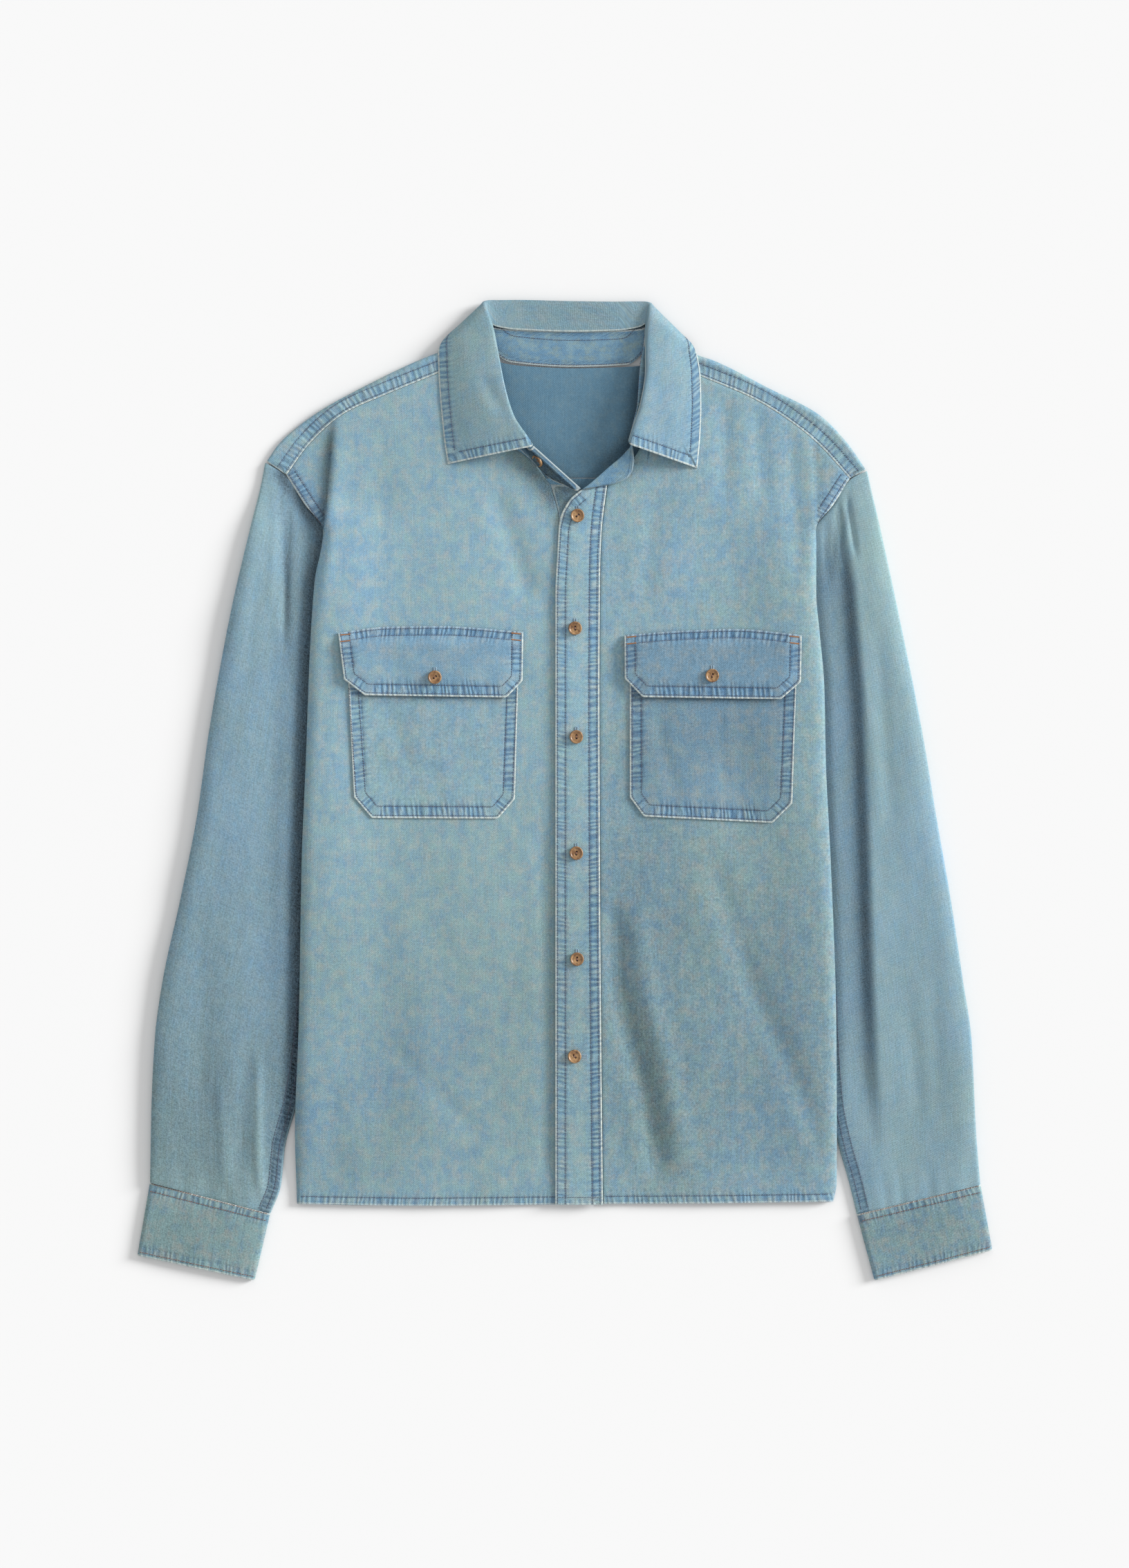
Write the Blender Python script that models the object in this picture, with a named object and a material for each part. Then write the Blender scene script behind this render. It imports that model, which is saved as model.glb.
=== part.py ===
"""Denim work shirt laid flat on its back, buttoned, with the top button of the collar open.

Every cut piece is one closed wall of cloth. The shirt rests on z = 0 with its front facing +Z and its collar
towards +Y. "right" and "left" are the wearer's own sides, so the right half lies towards -X. Lengths in this
file are millimetres until a mesh is made.
"""
import bpy
import numpy as np

MM = 0.001

# Cloth and seams
CLOTH = 1.1            # one layer of washed denim
DOUBLE = 1.7           # two layers, as in cuffs, collar and flaps
SEAM = 0.3             # clear space between two pieces that are sewn together
EDGE_GAP = 0.8         # clear space where two curved seam edges meet
LAYER_GAP = 0.5        # clear space between a patch and the panel that it lies on

# Body
HEM_Y = -347.0
BACK_SEAM_Y = 262.0    # seam between back panel and yoke
TUCK_HEIGHT = 4.3      # how high the body's side edge rides over the sleeve that is tucked beneath it
TUCK_FLAT = 13.0       # width of that raised edge
TUCK_SLOPE = 30.0      # width over which it falls back to the floor
PUFF = 1.8             # air between back and front in the middle of the body
EDGE_ROLL = 9.0        # width over which the front rolls down to the side seam

# Placket
PLACKET_RIGHT_X = -8.1
BAND_SEAM_X = -5.0
BAND_END_X = 27.0

# Buttons
BUTTON_RADIUS = 5.7
BUTTON_HEIGHT = 2.4
PLACKET_BUTTONS = ((10.6, 230.1), (8.6, 135.7), (9.6, 44.7), (9.6, -52.7), (10.2, -141.5), (8.1, -223.0))
FLAP_BUTTONS = {"right": (-108.8, 94.5), "left": (123.3, 95.9)}
STAND_BUTTON_INSET = 7.0  # from the stand's right end to the middle of its button
STAND_BUTTON_UP = 0.62    # how far up the stand it sits, from 0 at the neck seam to 1 at the upper edge
STAND_BUTTON_TIP = 0.4   # how much further up the button faces than the stand below it
STAND_BUTTON_SHANK = 1.6  # thread between the stand and its button

# Outlines, a row for each bend, as (x, y)
SIDE_EDGE = {
    "right": ((-224.5, -347.0), (-226.0, -288.0), (-222.7, -192.0), (-220.4, -60.0), (-216.9, 25.0),
              (-213.4, 118.0), (-209.4, 176.0), (-203.6, 204.7)),
    "left": ((225.0, -345.0), (227.8, -330.0), (227.4, -192.0), (225.0, -60.0), (216.9, 87.0),
             (212.3, 152.5), (210.5, 204.7)),
}
ARMHOLE = {
    "right": ((-203.6, 204.7), (-202.3, 216.3), (-218.7, 240.7), (-233.6, 264.0)),
    "left": ((210.5, 204.7), (210.0, 217.5), (225.0, 239.5), (239.0, 261.0)),
}
SHOULDER_TIP = {"right": (-250.6, 275.5), "left": (252.9, 268.5)}
YOKE_SEAM = {
    "right": ((-78.0, 362.0), (-106.7, 349.2), (-149.1, 331.8), (-183.9, 316.1), (-212.9, 291.7), (-233.6, 264.0)),
    "left": ((82.0, 360.0), (113.7, 346.8), (152.5, 330.6), (175.7, 317.8), (210.5, 291.7), (239.0, 261.0)),
}
SHOULDER_FOLD = {
    "right": ((-76.0, 381.0), (-104.4, 368.0), (-123.0, 360.5), (-169.4, 338.1), (-210.5, 314.9), (-239.0, 291.7),
              (-250.6, 275.5)),
    "left": ((80.0, 379.0), (108.5, 366.0), (124.7, 360.5), (169.4, 338.1), (213.4, 314.9), (236.6, 291.7),
             (252.9, 268.5)),
}
FRONT_NECK = {
    "right": ((-12.2, 256.0), (-24.4, 272.5), (-47.6, 291.0), (-67.9, 308.0), (-76.0, 336.0), (-78.0, 362.0)),
    "left": ((36.0, 256.0), (62.6, 281.0), (76.0, 306.0), (80.5, 336.0), (82.0, 360.0)),
}
BACK_NECK = ((-76.0, 381.0), (-54.0, 359.0), (-33.0, 355.8), (7.5, 354.0), (48.0, 355.0), (67.3, 357.0), (80.0, 379.0))
FRONT_EDGE = {
    "right": ((-5.0, -347.5), (-5.0, 225.0), (-12.2, 256.0)),
    "left": ((32.2, -347.0), (29.9, -91.0), (29.3, 84.0), (29.9, 185.0), (31.2, 217.0), (36.0, 256.0)),
}
PLACKET_EDGE = {
    "free": ((-8.1, -347.6), (-8.1, 120.0), (-8.0, 165.0), (-6.4, 198.4), (-4.6, 225.0), (4.1, 243.6), (13.3, 251.7)),
    "sewn": ((31.9, -347.6), (29.6, -91.0), (29.0, 84.0), (29.6, 185.0), (30.9, 217.0), (35.7, 257.6)),
}

# Sleeves: outer fold and inner fold, from the armhole to the cuff, as (x, y)
SLEEVE_OUTER = {
    "right": ((-251.2, 275.0), (-254.6, 256.9), (-263.3, 222.1), (-279.6, 152.5), (-298.7, 48.1), (-308.6, -21.5),
              (-322.5, -91.1), (-337.6, -160.7), (-343.9, -207.1), (-346.8, -265.1), (-348.0, -329.1)),
    "left": ((253.4, 268.0), (255.8, 256.9), (263.9, 222.1), (279.0, 152.5), (299.9, 48.1), (311.5, -21.5),
             (323.6, -91.1), (334.1, -160.7), (341.0, -207.1), (345.1, -288.3), (348.6, -330.9)),
}
SLEEVE_INNER = {
    "right": ((-196.0, 205.0), (-203.0, 100.0), (-210.5, -60.0), (-215.5, -200.0), (-225.0, -262.0),
              (-234.9, -299.9), (-238.4, -331.8), (-247.1, -355.2)),
    "left": ((202.5, 205.0), (207.0, 100.0), (215.5, -60.0), (218.5, -200.0), (222.5, -262.0),
             (229.5, -297.0), (239.0, -331.0), (245.0, -355.8)),
}
SLEEVE_FULLNESS = ((0.0, 1.6), (0.1, 2.1), (0.35, 2.3), (0.7, 2.1), (1.0, 1.4))  # (way down the sleeve, height)
CUFF = {  # corners: outer top, inner top, outer end, inner end
    "right": ((-348.2, -329.6), (-247.3, -355.7), (-358.75, -390.3), (-260.4, -411.2)),
    "left": ((348.8, -331.4), (245.0, -356.3), (358.75, -385.7), (259.8, -411.2)),
}

# Collar sections from the wearer's right front round the back to the left front. Each row is one section
# across the collar. STAND has the neck seam and the upper edge; LEAF has the seam on the stand, the roll and
# the outer edge. All as (x, y, z).
STAND_ROWS = (
    ("right_end", (-3.4, 259.8, 9.0), (-25.8, 286.0, 17.0)),
    ("right_front", (-24.0, 273.4, 5.4), (-33.5, 297.0, 17.0)),
    ("right_chest", (-45.6, 293.4, 4.8), (-43.5, 310.0, 16.6)),
    ("right_side", (-64.2, 310.4, 5.6), (-51.5, 332.0, 15.5)),
    ("right_neck", (-71.0, 338.6, 6.2), (-57.5, 358.0, 12.8)),
    ("right_fold_front", (-75.2, 367.0, 4.8), (-62.6, 380.0, 9.6)),
    ("right_fold", (-75.0, 382.0, 4.0), (-63.6, 389.5, 6.0)),
    ("right_fold_back", (-64.0, 371.0, 3.2), (-58.5, 388.0, 4.6)),
    ("right_back", (-45.0, 359.0, 3.1), (-42.0, 386.4, 4.3)),
    ("back", (7.0, 355.2, 3.1), (7.0, 385.2, 4.3)),
    ("left_back", (52.0, 357.0, 3.1), (48.0, 385.8, 4.3)),
    ("left_fold_back", (69.0, 371.0, 3.2), (63.0, 387.0, 4.6)),
    ("left_fold", (79.2, 380.0, 4.0), (67.8, 388.5, 6.0)),
    ("left_fold_front", (79.0, 365.0, 4.8), (66.8, 378.0, 9.6)),
    ("left_neck", (76.0, 337.6, 6.2), (62.8, 352.0, 13.4)),
    ("left_side", (71.8, 309.6, 5.6), (57.8, 322.0, 16.4)),
    ("left_chest", (66.4, 295.2, 5.0), (51.6, 303.0, 17.2)),
    ("left_front", (54.0, 276.5, 7.4), (49.6, 288.0, 18.0)),
    ("left_turn", (39.6, 268.6, 11.6), (51.4, 284.6, 19.6)),
    ("left_end", (36.8, 259.8, 9.6), (54.6, 273.5, 13.4)),
)
LEAF_ROWS = (
    ("right_point", (-28.6, 288.6, 18.4), (-27.3, 286.5, 20.4), (-98.0, 273.2, 7.6)),
    ("right_front", (-35.6, 298.6, 18.4), (-33.0, 297.5, 20.4), (-100.9, 291.7, 7.6)),
    ("right_chest", (-45.4, 311.4, 18.0), (-41.8, 312.0, 20.2), (-103.0, 312.0, 7.6)),
    ("right_side", (-53.2, 333.0, 16.8), (-48.7, 334.0, 19.2), (-105.0, 336.0, 7.6)),
    ("right_neck", (-59.2, 359.0, 14.2), (-54.8, 361.0, 16.8), (-106.0, 355.0, 7.4)),
    ("right_fold_front", (-63.2, 383.0, 11.2), (-60.6, 386.0, 13.6), (-106.2, 367.0, 7.2)),
    ("right_fold", (-64.2, 392.5, 7.4), (-67.6, 408.6, 7.0), (-104.0, 374.0, 6.0)),
    ("right_fold_back", (-58.8, 390.4, 6.2), (-61.5, 410.6, 4.8), (-85.0, 387.5, 2.0)),
    ("right_under", (-50.0, 389.0, 5.8), (-53.0, 410.9, 4.3), (-67.0, 381.0, 0.9)),
    ("right_back", (-40.0, 388.6, 5.6), (-40.0, 411.0, 4.1), (-44.0, 362.5, 0.86)),
    ("back", (7.0, 387.4, 5.6), (7.0, 410.0, 4.1), (7.0, 359.0, 0.86)),
    ("left_back", (45.0, 388.0, 5.6), (44.0, 409.6, 4.1), (48.0, 362.5, 0.86)),
    ("left_under", (54.4, 388.2, 5.8), (57.0, 409.8, 4.3), (71.0, 379.0, 0.9)),
    ("left_fold_back", (63.4, 389.4, 6.2), (65.5, 409.6, 4.8), (89.0, 385.0, 2.0)),
    ("left_fold", (68.4, 391.5, 7.4), (71.4, 407.6, 7.0), (107.5, 372.0, 6.0)),
    ("left_fold_front", (67.4, 381.0, 11.2), (70.4, 386.0, 13.0), (110.8, 364.0, 7.2)),
    ("left_neck", (64.6, 353.0, 15.0), (67.8, 354.0, 16.8), (113.6, 346.0, 7.4)),
    ("left_side", (59.6, 323.0, 18.0), (62.8, 322.0, 19.6), (114.2, 322.0, 7.6)),
    ("left_chest", (54.0, 304.0, 18.6), (57.2, 303.0, 20.4), (113.4, 298.0, 7.6)),
    ("left_point", (52.2, 291.6, 19.4), (55.1, 288.0, 21.4), (110.8, 269.7, 7.6)),
)

# Pockets and flaps: corner points from the upper inner corner, going round, as (x, y)
POCKET = {
    "right": {"top": ((-182.9, 122.0), (-38.2, 122.0)), "side_end": ((-176.6, -5.8), (-41.8, -7.3)),
              "bottom": ((-161.8, -23.2), (-56.0, -23.8))},
    "left": {"top": ((54.3, 122.0), (194.8, 122.0)), "side_end": ((54.4, -6.0), (190.4, -11.0)),
             "bottom": ((66.1, -22.0), (174.0, -27.4))},
}
FLAP = {
    "right": {"top": ((-189.7, 131.7), (-149.6, 136.9), (-105.6, 137.5), (-34.8, 132.8)),
              "side_end": ((-184.8, 92.6), (-35.4, 91.6)), "bottom": ((-167.6, 79.5), (-48.7, 77.7))},
    "left": {"top": ((49.9, 129.9), (99.2, 133.7), (143.3, 135.1), (198.1, 129.9)),
             "side_end": ((50.1, 93.5), (197.4, 90.5)), "bottom": ((65.0, 78.0), (181.0, 76.2))},
}

# Folds of the front: a polyline, half width, and height at the middle (negative for a trough)
FRONT_FOLDS = (
    ("right_chest_drag", ((-62.0, 257.0), (-44.0, 205.0), (-27.0, 152.0)), 15.0, -1.3),
    ("right_shoulder_step", ((-193.0, 312.0), (-196.5, 257.0), (-201.0, 216.0)), 13.0, 2.2),
    ("left_shoulder_one", ((132.0, 338.0), (134.0, 256.0)), 13.0, -1.2),
    ("left_shoulder_two", ((161.0, 325.0), (168.0, 257.0), (191.0, 165.0)), 14.0, -1.4),
    ("left_chest_drag", ((77.0, 257.0), (66.0, 152.0)), 14.0, -1.1),
    ("left_hem_trough", ((51.0, -80.0), (62.0, -165.0), (80.0, -240.0), (90.0, -325.0)), 15.0, -1.6),
    ("left_hem_ridge", ((72.0, -85.0), (90.0, -170.0), (108.0, -245.0), (118.0, -325.0)), 18.0, 1.9),
    ("left_hem_second", ((120.0, -35.0), (152.0, -150.0), (193.0, -240.0), (222.0, -323.0)), 18.0, -1.4),
    ("right_belly_ridge", ((-150.0, -60.0), (-118.0, -210.0), (-130.0, -320.0)), 24.0, 1.3),
)


def path(rows, ways):
    """Smooth curve through rows, read at ways from 0 to 1 of its length, with no overshoot beyond a bend."""
    rows = np.asarray(rows, dtype=float)
    steps = np.linalg.norm(np.diff(rows, axis=0), axis=1)
    along = np.concatenate(([0.0], np.cumsum(steps))) / steps.sum()
    slopes = np.diff(rows, axis=0) / np.diff(along)[:, None]
    tangents = np.empty_like(rows)
    tangents[0], tangents[-1] = slopes[0], slopes[-1]
    left, right = slopes[:-1], slopes[1:]
    same_way = left * right > 0
    tangents[1:-1] = np.where(same_way, 2 * left * right / np.where(same_way, left + right, 1.0), 0.0)
    ways = np.clip(np.asarray(ways, dtype=float), 0.0, 1.0)
    span = np.clip(np.searchsorted(along, ways, side="right") - 1, 0, len(rows) - 2)
    width = (along[span + 1] - along[span])[:, None]
    t = ((ways - along[span])[:, None]) / width
    return ((2 * t**3 - 3 * t**2 + 1) * rows[span] + (t**3 - 2 * t**2 + t) * width * tangents[span]
            + (3 * t**2 - 2 * t**3) * rows[span + 1] + (t**3 - t**2) * width * tangents[span + 1])


def smooth_step(value, start, end):
    """0 before start, 1 after end, and a soft rise between them."""
    t = np.clip((value - start) / (end - start), 0.0, 1.0)
    return t * t * (3 - 2 * t)


def distance_to_line(x, y, line):
    """Distance from each (x, y) to a polyline, and how far along it the nearest point is, from 0 to 1."""
    line = np.asarray(line, dtype=float)
    lengths = np.linalg.norm(np.diff(line, axis=0), axis=1)
    total = lengths.sum()
    best = np.full(np.shape(x), 1e9)
    way = np.zeros(np.shape(x))
    done = 0.0
    for start, end, length in zip(line[:-1], line[1:], lengths):
        direction = (end - start) / length
        along = np.clip((x - start[0]) * direction[0] + (y - start[1]) * direction[1], 0.0, length)
        gap = np.hypot(x - start[0] - along * direction[0], y - start[1] - along * direction[1])
        nearer = gap < best
        best = np.where(nearer, gap, best)
        way = np.where(nearer, (done + along) / total, way)
        done += length
    return best, way


def fold_height(x, y, folds):
    """Sum of soft ridges and troughs, each fading at both of its ends."""
    total = np.zeros(np.shape(x))
    for _, line, half_width, height in folds:
        gap, way = distance_to_line(x, y, line)
        fade = smooth_step(way, 0.0, 0.2) * (1 - smooth_step(way, 0.8, 1.0))
        total += height * np.exp(-(gap / half_width) ** 2 * 2.0) * fade
    return total


def side_inset(x, y, side):
    """Distance inwards from the body's side edge, measured along X."""
    rows = np.asarray(SIDE_EDGE[side] + ARMHOLE[side][1:])
    edge = np.interp(y, rows[:, 1], rows[:, 0])
    return (x - edge) if side == "right" else (edge - x)


def tuck(x, y, side):
    """Height of the back's underside: the floor, but for the side edge that lies on the sleeve."""
    inset = side_inset(x, y, side)
    across = 1 - smooth_step(inset, TUCK_FLAT, TUCK_FLAT + TUCK_SLOPE)
    along = smooth_step(y, -340.0, -288.0) * (1 - smooth_step(y, 230.0, 260.0))
    return TUCK_HEIGHT * across * along


def back_underside(x, y):
    """Height of the underside of the back, from both of its edges."""
    return np.where(x < 0, tuck(x, y, "right"), tuck(x, y, "left"))


def puff(x, y, side):
    """Air between the back's upper face and the front's underside."""
    inset = np.clip(side_inset(x, y, side), 0.0, None)
    roll = np.sqrt(np.clip(1 - (1 - np.clip(inset / EDGE_ROLL, 0, 1)) ** 2, 0, 1))
    at_placket = 1 - smooth_step(np.abs(x - 10.0), 18.0, 60.0)
    hem = 1 - smooth_step(y, HEM_Y + 4.0, HEM_Y + 70.0)
    plain = PUFF * (1 - 0.55 * at_placket) * (1 - 0.5 * hem)
    on_pocket = smooth_step(y, -45.0, -20.0) * (1 - smooth_step(y, 135.0, 160.0))
    folds = fold_height(x, y, FRONT_FOLDS) * (1 - 0.7 * on_pocket)
    return np.clip(EDGE_GAP + roll * (plain + folds), EDGE_GAP, None)


def front_underside(x, y, side):
    """Height of the underside of a front."""
    return back_underside(x, y) + CLOTH + puff(x, y, side)


def patch(bottom, top, start, end, columns, rows):
    """Grid of (x, y) filling four border curves. bottom and top run from start to end; start and end run up."""
    f = np.linspace(0, 1, columns + 1)
    g = np.linspace(0, 1, rows + 1)
    b, t = path(bottom, f)[:, None, :], path(top, f)[:, None, :]
    s, e = path(start, g)[None, :, :], path(end, g)[None, :, :]
    f, g = f[:, None, None], g[None, :, None]
    corners = ((1 - f) * (1 - g) * b[0, 0] + f * (1 - g) * b[-1, 0] + (1 - f) * g * t[0, 0] + f * g * t[-1, 0])
    return (1 - g) * b + g * t + (1 - f) * s + f * e - corners


def normals_of(grid):
    """Unit normals of a grid of points, from its own neighbours."""
    across = np.gradient(grid, axis=0)
    along = np.gradient(grid, axis=1)
    normal = np.cross(across, along)
    return normal / np.linalg.norm(normal, axis=2, keepdims=True)


def wall(name, lower, upper, colour, present=None):
    """Closed wall between two grids of points. present marks the cells that have cloth."""
    columns, rows = lower.shape[0] - 1, lower.shape[1] - 1
    if present is None:
        present = np.ones((columns, rows), dtype=bool)
    count = lower.shape[0] * lower.shape[1]
    points = np.concatenate((lower.reshape(-1, 3), upper.reshape(-1, 3)))

    def at(i, j):
        return i * (rows + 1) + j

    faces = []
    for i, j in zip(*np.nonzero(present)):
        a, b, c, d = at(i, j), at(i + 1, j), at(i + 1, j + 1), at(i, j + 1)
        faces.append((a + count, b + count, c + count, d + count))
        faces.append((d, c, b, a))
        for (di, dj), (p, q) in {(0, -1): (a, b), (1, 0): (b, c), (0, 1): (c, d), (-1, 0): (d, a)}.items():
            ni, nj = i + di, j + dj
            if not (0 <= ni < columns and 0 <= nj < rows and present[ni, nj]):
                faces.append((p, q, q + count, p + count))
    return solid(name, points, faces, colour)


def tube(name, outer, inner, colour):
    """Closed wall of a tube, from rings of points on its outer and its inner face, open at both ends."""
    rings, around = outer.shape[0], outer.shape[1]
    count = rings * around
    points = np.concatenate((outer.reshape(-1, 3), inner.reshape(-1, 3)))
    faces = []
    for j in range(around):
        k = (j + 1) % around
        for i in range(rings - 1):
            a, b, c, d = i * around + j, (i + 1) * around + j, (i + 1) * around + k, i * around + k
            faces.append((a, b, c, d))
            faces.append((d + count, c + count, b + count, a + count))
        last = (rings - 1) * around
        faces.append((j, k, k + count, j + count))
        faces.append((last + k, last + j, last + j + count, last + k + count))
    return solid(name, points, faces, colour)


def solid(name, points, faces, colour):
    """Mesh object in metres, without unused points, with all its faces turned outwards."""
    faces = [tuple(face) for face in faces]
    used = np.unique([index for face in faces for index in face])
    renumber = np.full(len(points), -1)
    renumber[used] = np.arange(len(used))
    mesh = bpy.data.meshes.new(name)
    mesh.from_pydata([tuple(p) for p in points[used] * MM], [], [tuple(int(renumber[i]) for i in f) for f in faces])
    mesh.validate()
    if signed_volume(mesh) < 0:
        mesh.flip_normals()
    mesh.shade_smooth()
    mesh.materials.append(colour)
    thing = bpy.data.objects.new(name, mesh)
    bpy.context.scene.collection.objects.link(thing)
    return thing


def signed_volume(mesh):
    """Volume inside a closed mesh, negative where its faces point inwards."""
    total = 0.0
    for face in mesh.polygons:
        corners = [mesh.vertices[i].co for i in face.vertices]
        for b, c in zip(corners[1:-1], corners[2:]):
            total += corners[0].dot(b.cross(c)) / 6
    return total


def finish(name, colour, roughness):
    """Plain Principled material."""
    material = bpy.data.materials.new(name)
    material.use_nodes = True
    shader = material.node_tree.nodes["Principled BSDF"]
    shader.inputs["Base Color"].default_value = (*colour, 1.0)
    shader.inputs["Roughness"].default_value = roughness
    shader.inputs["Metallic"].default_value = 0.0
    return material


def with_height(grid, height):
    """(x, y) grid with a height added as its third value."""
    return np.concatenate((grid, np.asarray(height)[..., None]), axis=2)


def back_panel(colour):
    """Back from the hem to the yoke seam."""
    bottom = (SIDE_EDGE["right"][0], (-170.0, HEM_Y - 1.5), (3.0, HEM_Y - 0.5), SIDE_EDGE["left"][0])
    top = ((-232.2, BACK_SEAM_Y - SEAM), (237.6, BACK_SEAM_Y - SEAM))
    side = {name: SIDE_EDGE[name] + ARMHOLE[name][1:-1] + (top[0 if name == "right" else 1],)
            for name in ("right", "left")}
    grid = patch(bottom, top, side["right"], side["left"], 24, 18)
    height = back_underside(grid[..., 0], grid[..., 1])
    return wall("back", with_height(grid, height), with_height(grid, height + CLOTH), colour)


def front_panel(side, colour):
    """One front, from the hem up to the yoke seam and the neck."""
    bottom = {"right": ((-5.0, -347.5), (-120.0, -348.5), SIDE_EDGE["right"][0]),
              "left": ((32.2, -347.0), (120.0, -346.5), SIDE_EDGE["left"][0])}[side]
    top = FRONT_NECK[side] + YOKE_SEAM[side][1:]
    outer = SIDE_EDGE[side] + ARMHOLE[side][1:]
    grid = patch(bottom, top, FRONT_EDGE[side], outer, 17, 27)
    x, y = grid[..., 0], grid[..., 1]
    height = front_underside(x, y, side)
    lower, upper = with_height(grid, height), with_height(grid, height + CLOTH)
    return wall(f"front_{side}", lower, upper, colour)


def yoke(colour):
    """Yoke: flat over the upper back, then folded over both shoulders to the front seams."""
    shoulder_columns, neck_columns, back_rows = 9, 10, 4
    ways = np.linspace(0, 1, shoulder_columns + 1)
    right_fold = path(SHOULDER_FOLD["right"][::-1], ways)
    left_fold = path(SHOULDER_FOLD["left"], ways)
    neck = path(BACK_NECK, np.linspace(0, 1, neck_columns + 1))
    edge = np.concatenate((right_fold, neck[1:-1], left_fold))
    right_seam = path(YOKE_SEAM["right"][::-1], ways)
    left_seam = path(YOKE_SEAM["left"], ways)
    seam = np.concatenate((right_seam, neck[1:-1], left_seam))
    for row, inwards in ((0, 1.0), (-1, -1.0)):
        edge[row] += (inwards * 1.4, 0.4)
        seam[row] += (inwards * 1.0, 0.4)
    count = len(edge)
    in_neck = np.zeros(count, dtype=bool)
    in_neck[shoulder_columns + 1:shoulder_columns + neck_columns] = True

    base = np.stack((np.interp(np.arange(count), (0, count - 1), (-232.5, 238.0)),
                     np.full(count, BACK_SEAM_Y + SEAM)), axis=1)
    base[:, 0] = np.interp(np.linspace(0, 1, count), np.linspace(0, 1, count), 0.55 * base[:, 0] + 0.45 * edge[:, 0])
    base[0], base[-1] = (-231.0, BACK_SEAM_Y + SEAM), (236.0, BACK_SEAM_Y + SEAM)

    inward = seam - edge
    inward /= np.maximum(np.linalg.norm(inward, axis=1, keepdims=True), 1e-6)
    front_x, front_y = seam[:, 0], seam[:, 1]
    side_height = np.where(front_x < 0, front_underside(front_x, front_y, "right"),
                           front_underside(front_x, front_y, "left"))
    fold_radius = (side_height + CLOTH / 2 - CLOTH / 2) / 2
    middle, normal = [], []
    for row in range(back_rows + 1):
        share = row / back_rows
        limit = edge + inward * (fold_radius + CLOTH / 2)[:, None] * (~in_neck)[:, None]
        place = base * (1 - share) + limit * share
        lift = 2.2 * smooth_step(share, 0.55, 1.0) * in_neck_weight(edge)
        middle.append(np.column_stack((place, CLOTH / 2 + lift)))
        normal.append(np.tile((0.0, 0.0, -1.0), (count, 1)))
    for angle in np.radians((-45.0, 0.0, 45.0)):
        centre = edge + inward * (fold_radius + CLOTH / 2)[:, None]
        place = centre - inward * (fold_radius * np.cos(angle))[:, None]
        height = CLOTH / 2 + fold_radius * (1 + np.sin(angle))
        middle.append(np.column_stack((place, height)))
        out = -inward * np.cos(angle)
        normal.append(np.column_stack((out, np.full(count, np.sin(angle)))))
    for share in (0.0, 0.5, 1.0):
        start = edge + inward * (fold_radius + CLOTH / 2)[:, None]
        end = seam - inward * (SEAM + EDGE_GAP)
        place = start * (1 - share) + end * share
        middle.append(np.column_stack((place, side_height + CLOTH / 2)))
        normal.append(np.tile((0.0, 0.0, 1.0), (count, 1)))
    middle, normal = np.stack(middle, axis=1), np.stack(normal, axis=1)
    present = np.ones((count - 1, middle.shape[1] - 1), dtype=bool)
    cells_in_neck = np.arange(shoulder_columns, shoulder_columns + neck_columns)
    present[cells_in_neck, back_rows:] = False
    return wall("yoke", middle - normal * CLOTH / 2, middle + normal * CLOTH / 2, colour, present)


def in_neck_weight(edge):
    """1 along the back neck, 0 along the shoulders."""
    return smooth_step(edge[:, 0], -74.0, -52.0) * (1 - smooth_step(edge[:, 0], 56.0, 78.0))


def flattened_ring(width, thickness, fold_radius, crown, bottom_points, fold_points, top_points):
    """Middle line of a flattened tube's section as (across, height), and its outward normals.

    The bottom lies flat, both folds are round, and the top rises by crown, a function of across / width.
    """
    half = thickness / 2
    left, right = half + fold_radius, width - half - fold_radius
    bottom = np.column_stack((np.linspace(right, left, bottom_points), np.full(bottom_points, half)))
    angles = np.linspace(-90, 90, fold_points + 2)[1:-1]
    fold_left = np.column_stack((left - fold_radius * np.cos(np.radians(angles)),
                                 half + fold_radius * (1 + np.sin(np.radians(angles)))))
    across = np.linspace(left, right, top_points)
    top = np.column_stack((across, half + 2 * fold_radius + crown(across / width)))
    fold_right = np.column_stack((right + fold_radius * np.cos(np.radians(-angles)),
                                  half + fold_radius * (1 + np.sin(np.radians(-angles)))))
    ring = np.concatenate((bottom, fold_left, top, fold_right))
    ahead = np.roll(ring, -1, axis=0) - np.roll(ring, 1, axis=0)
    normal = np.column_stack((-ahead[:, 1], ahead[:, 0]))
    normal /= np.linalg.norm(normal, axis=1, keepdims=True)
    flat = np.arange(len(ring)) < bottom_points
    normal[flat] = (0.0, -1.0)
    return ring, normal


def sleeve_crown(way, across):
    """Height of a sleeve's top above its folds: low along both folds, with a trough beside the body."""
    fullness = np.interp(way, *np.transpose(SLEEVE_FULLNESS))
    rise = smooth_step(across, 0.0, 0.2) * (1 - smooth_step(across, 0.45, 0.74))
    along = smooth_step(way, 0.1, 0.3) * (1 - smooth_step(way, 0.7, 0.95))
    wave = 0.5 * np.sin(5.0 * np.pi * across + 3.0 * way) * along
    return rise * (fullness + wave)


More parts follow.
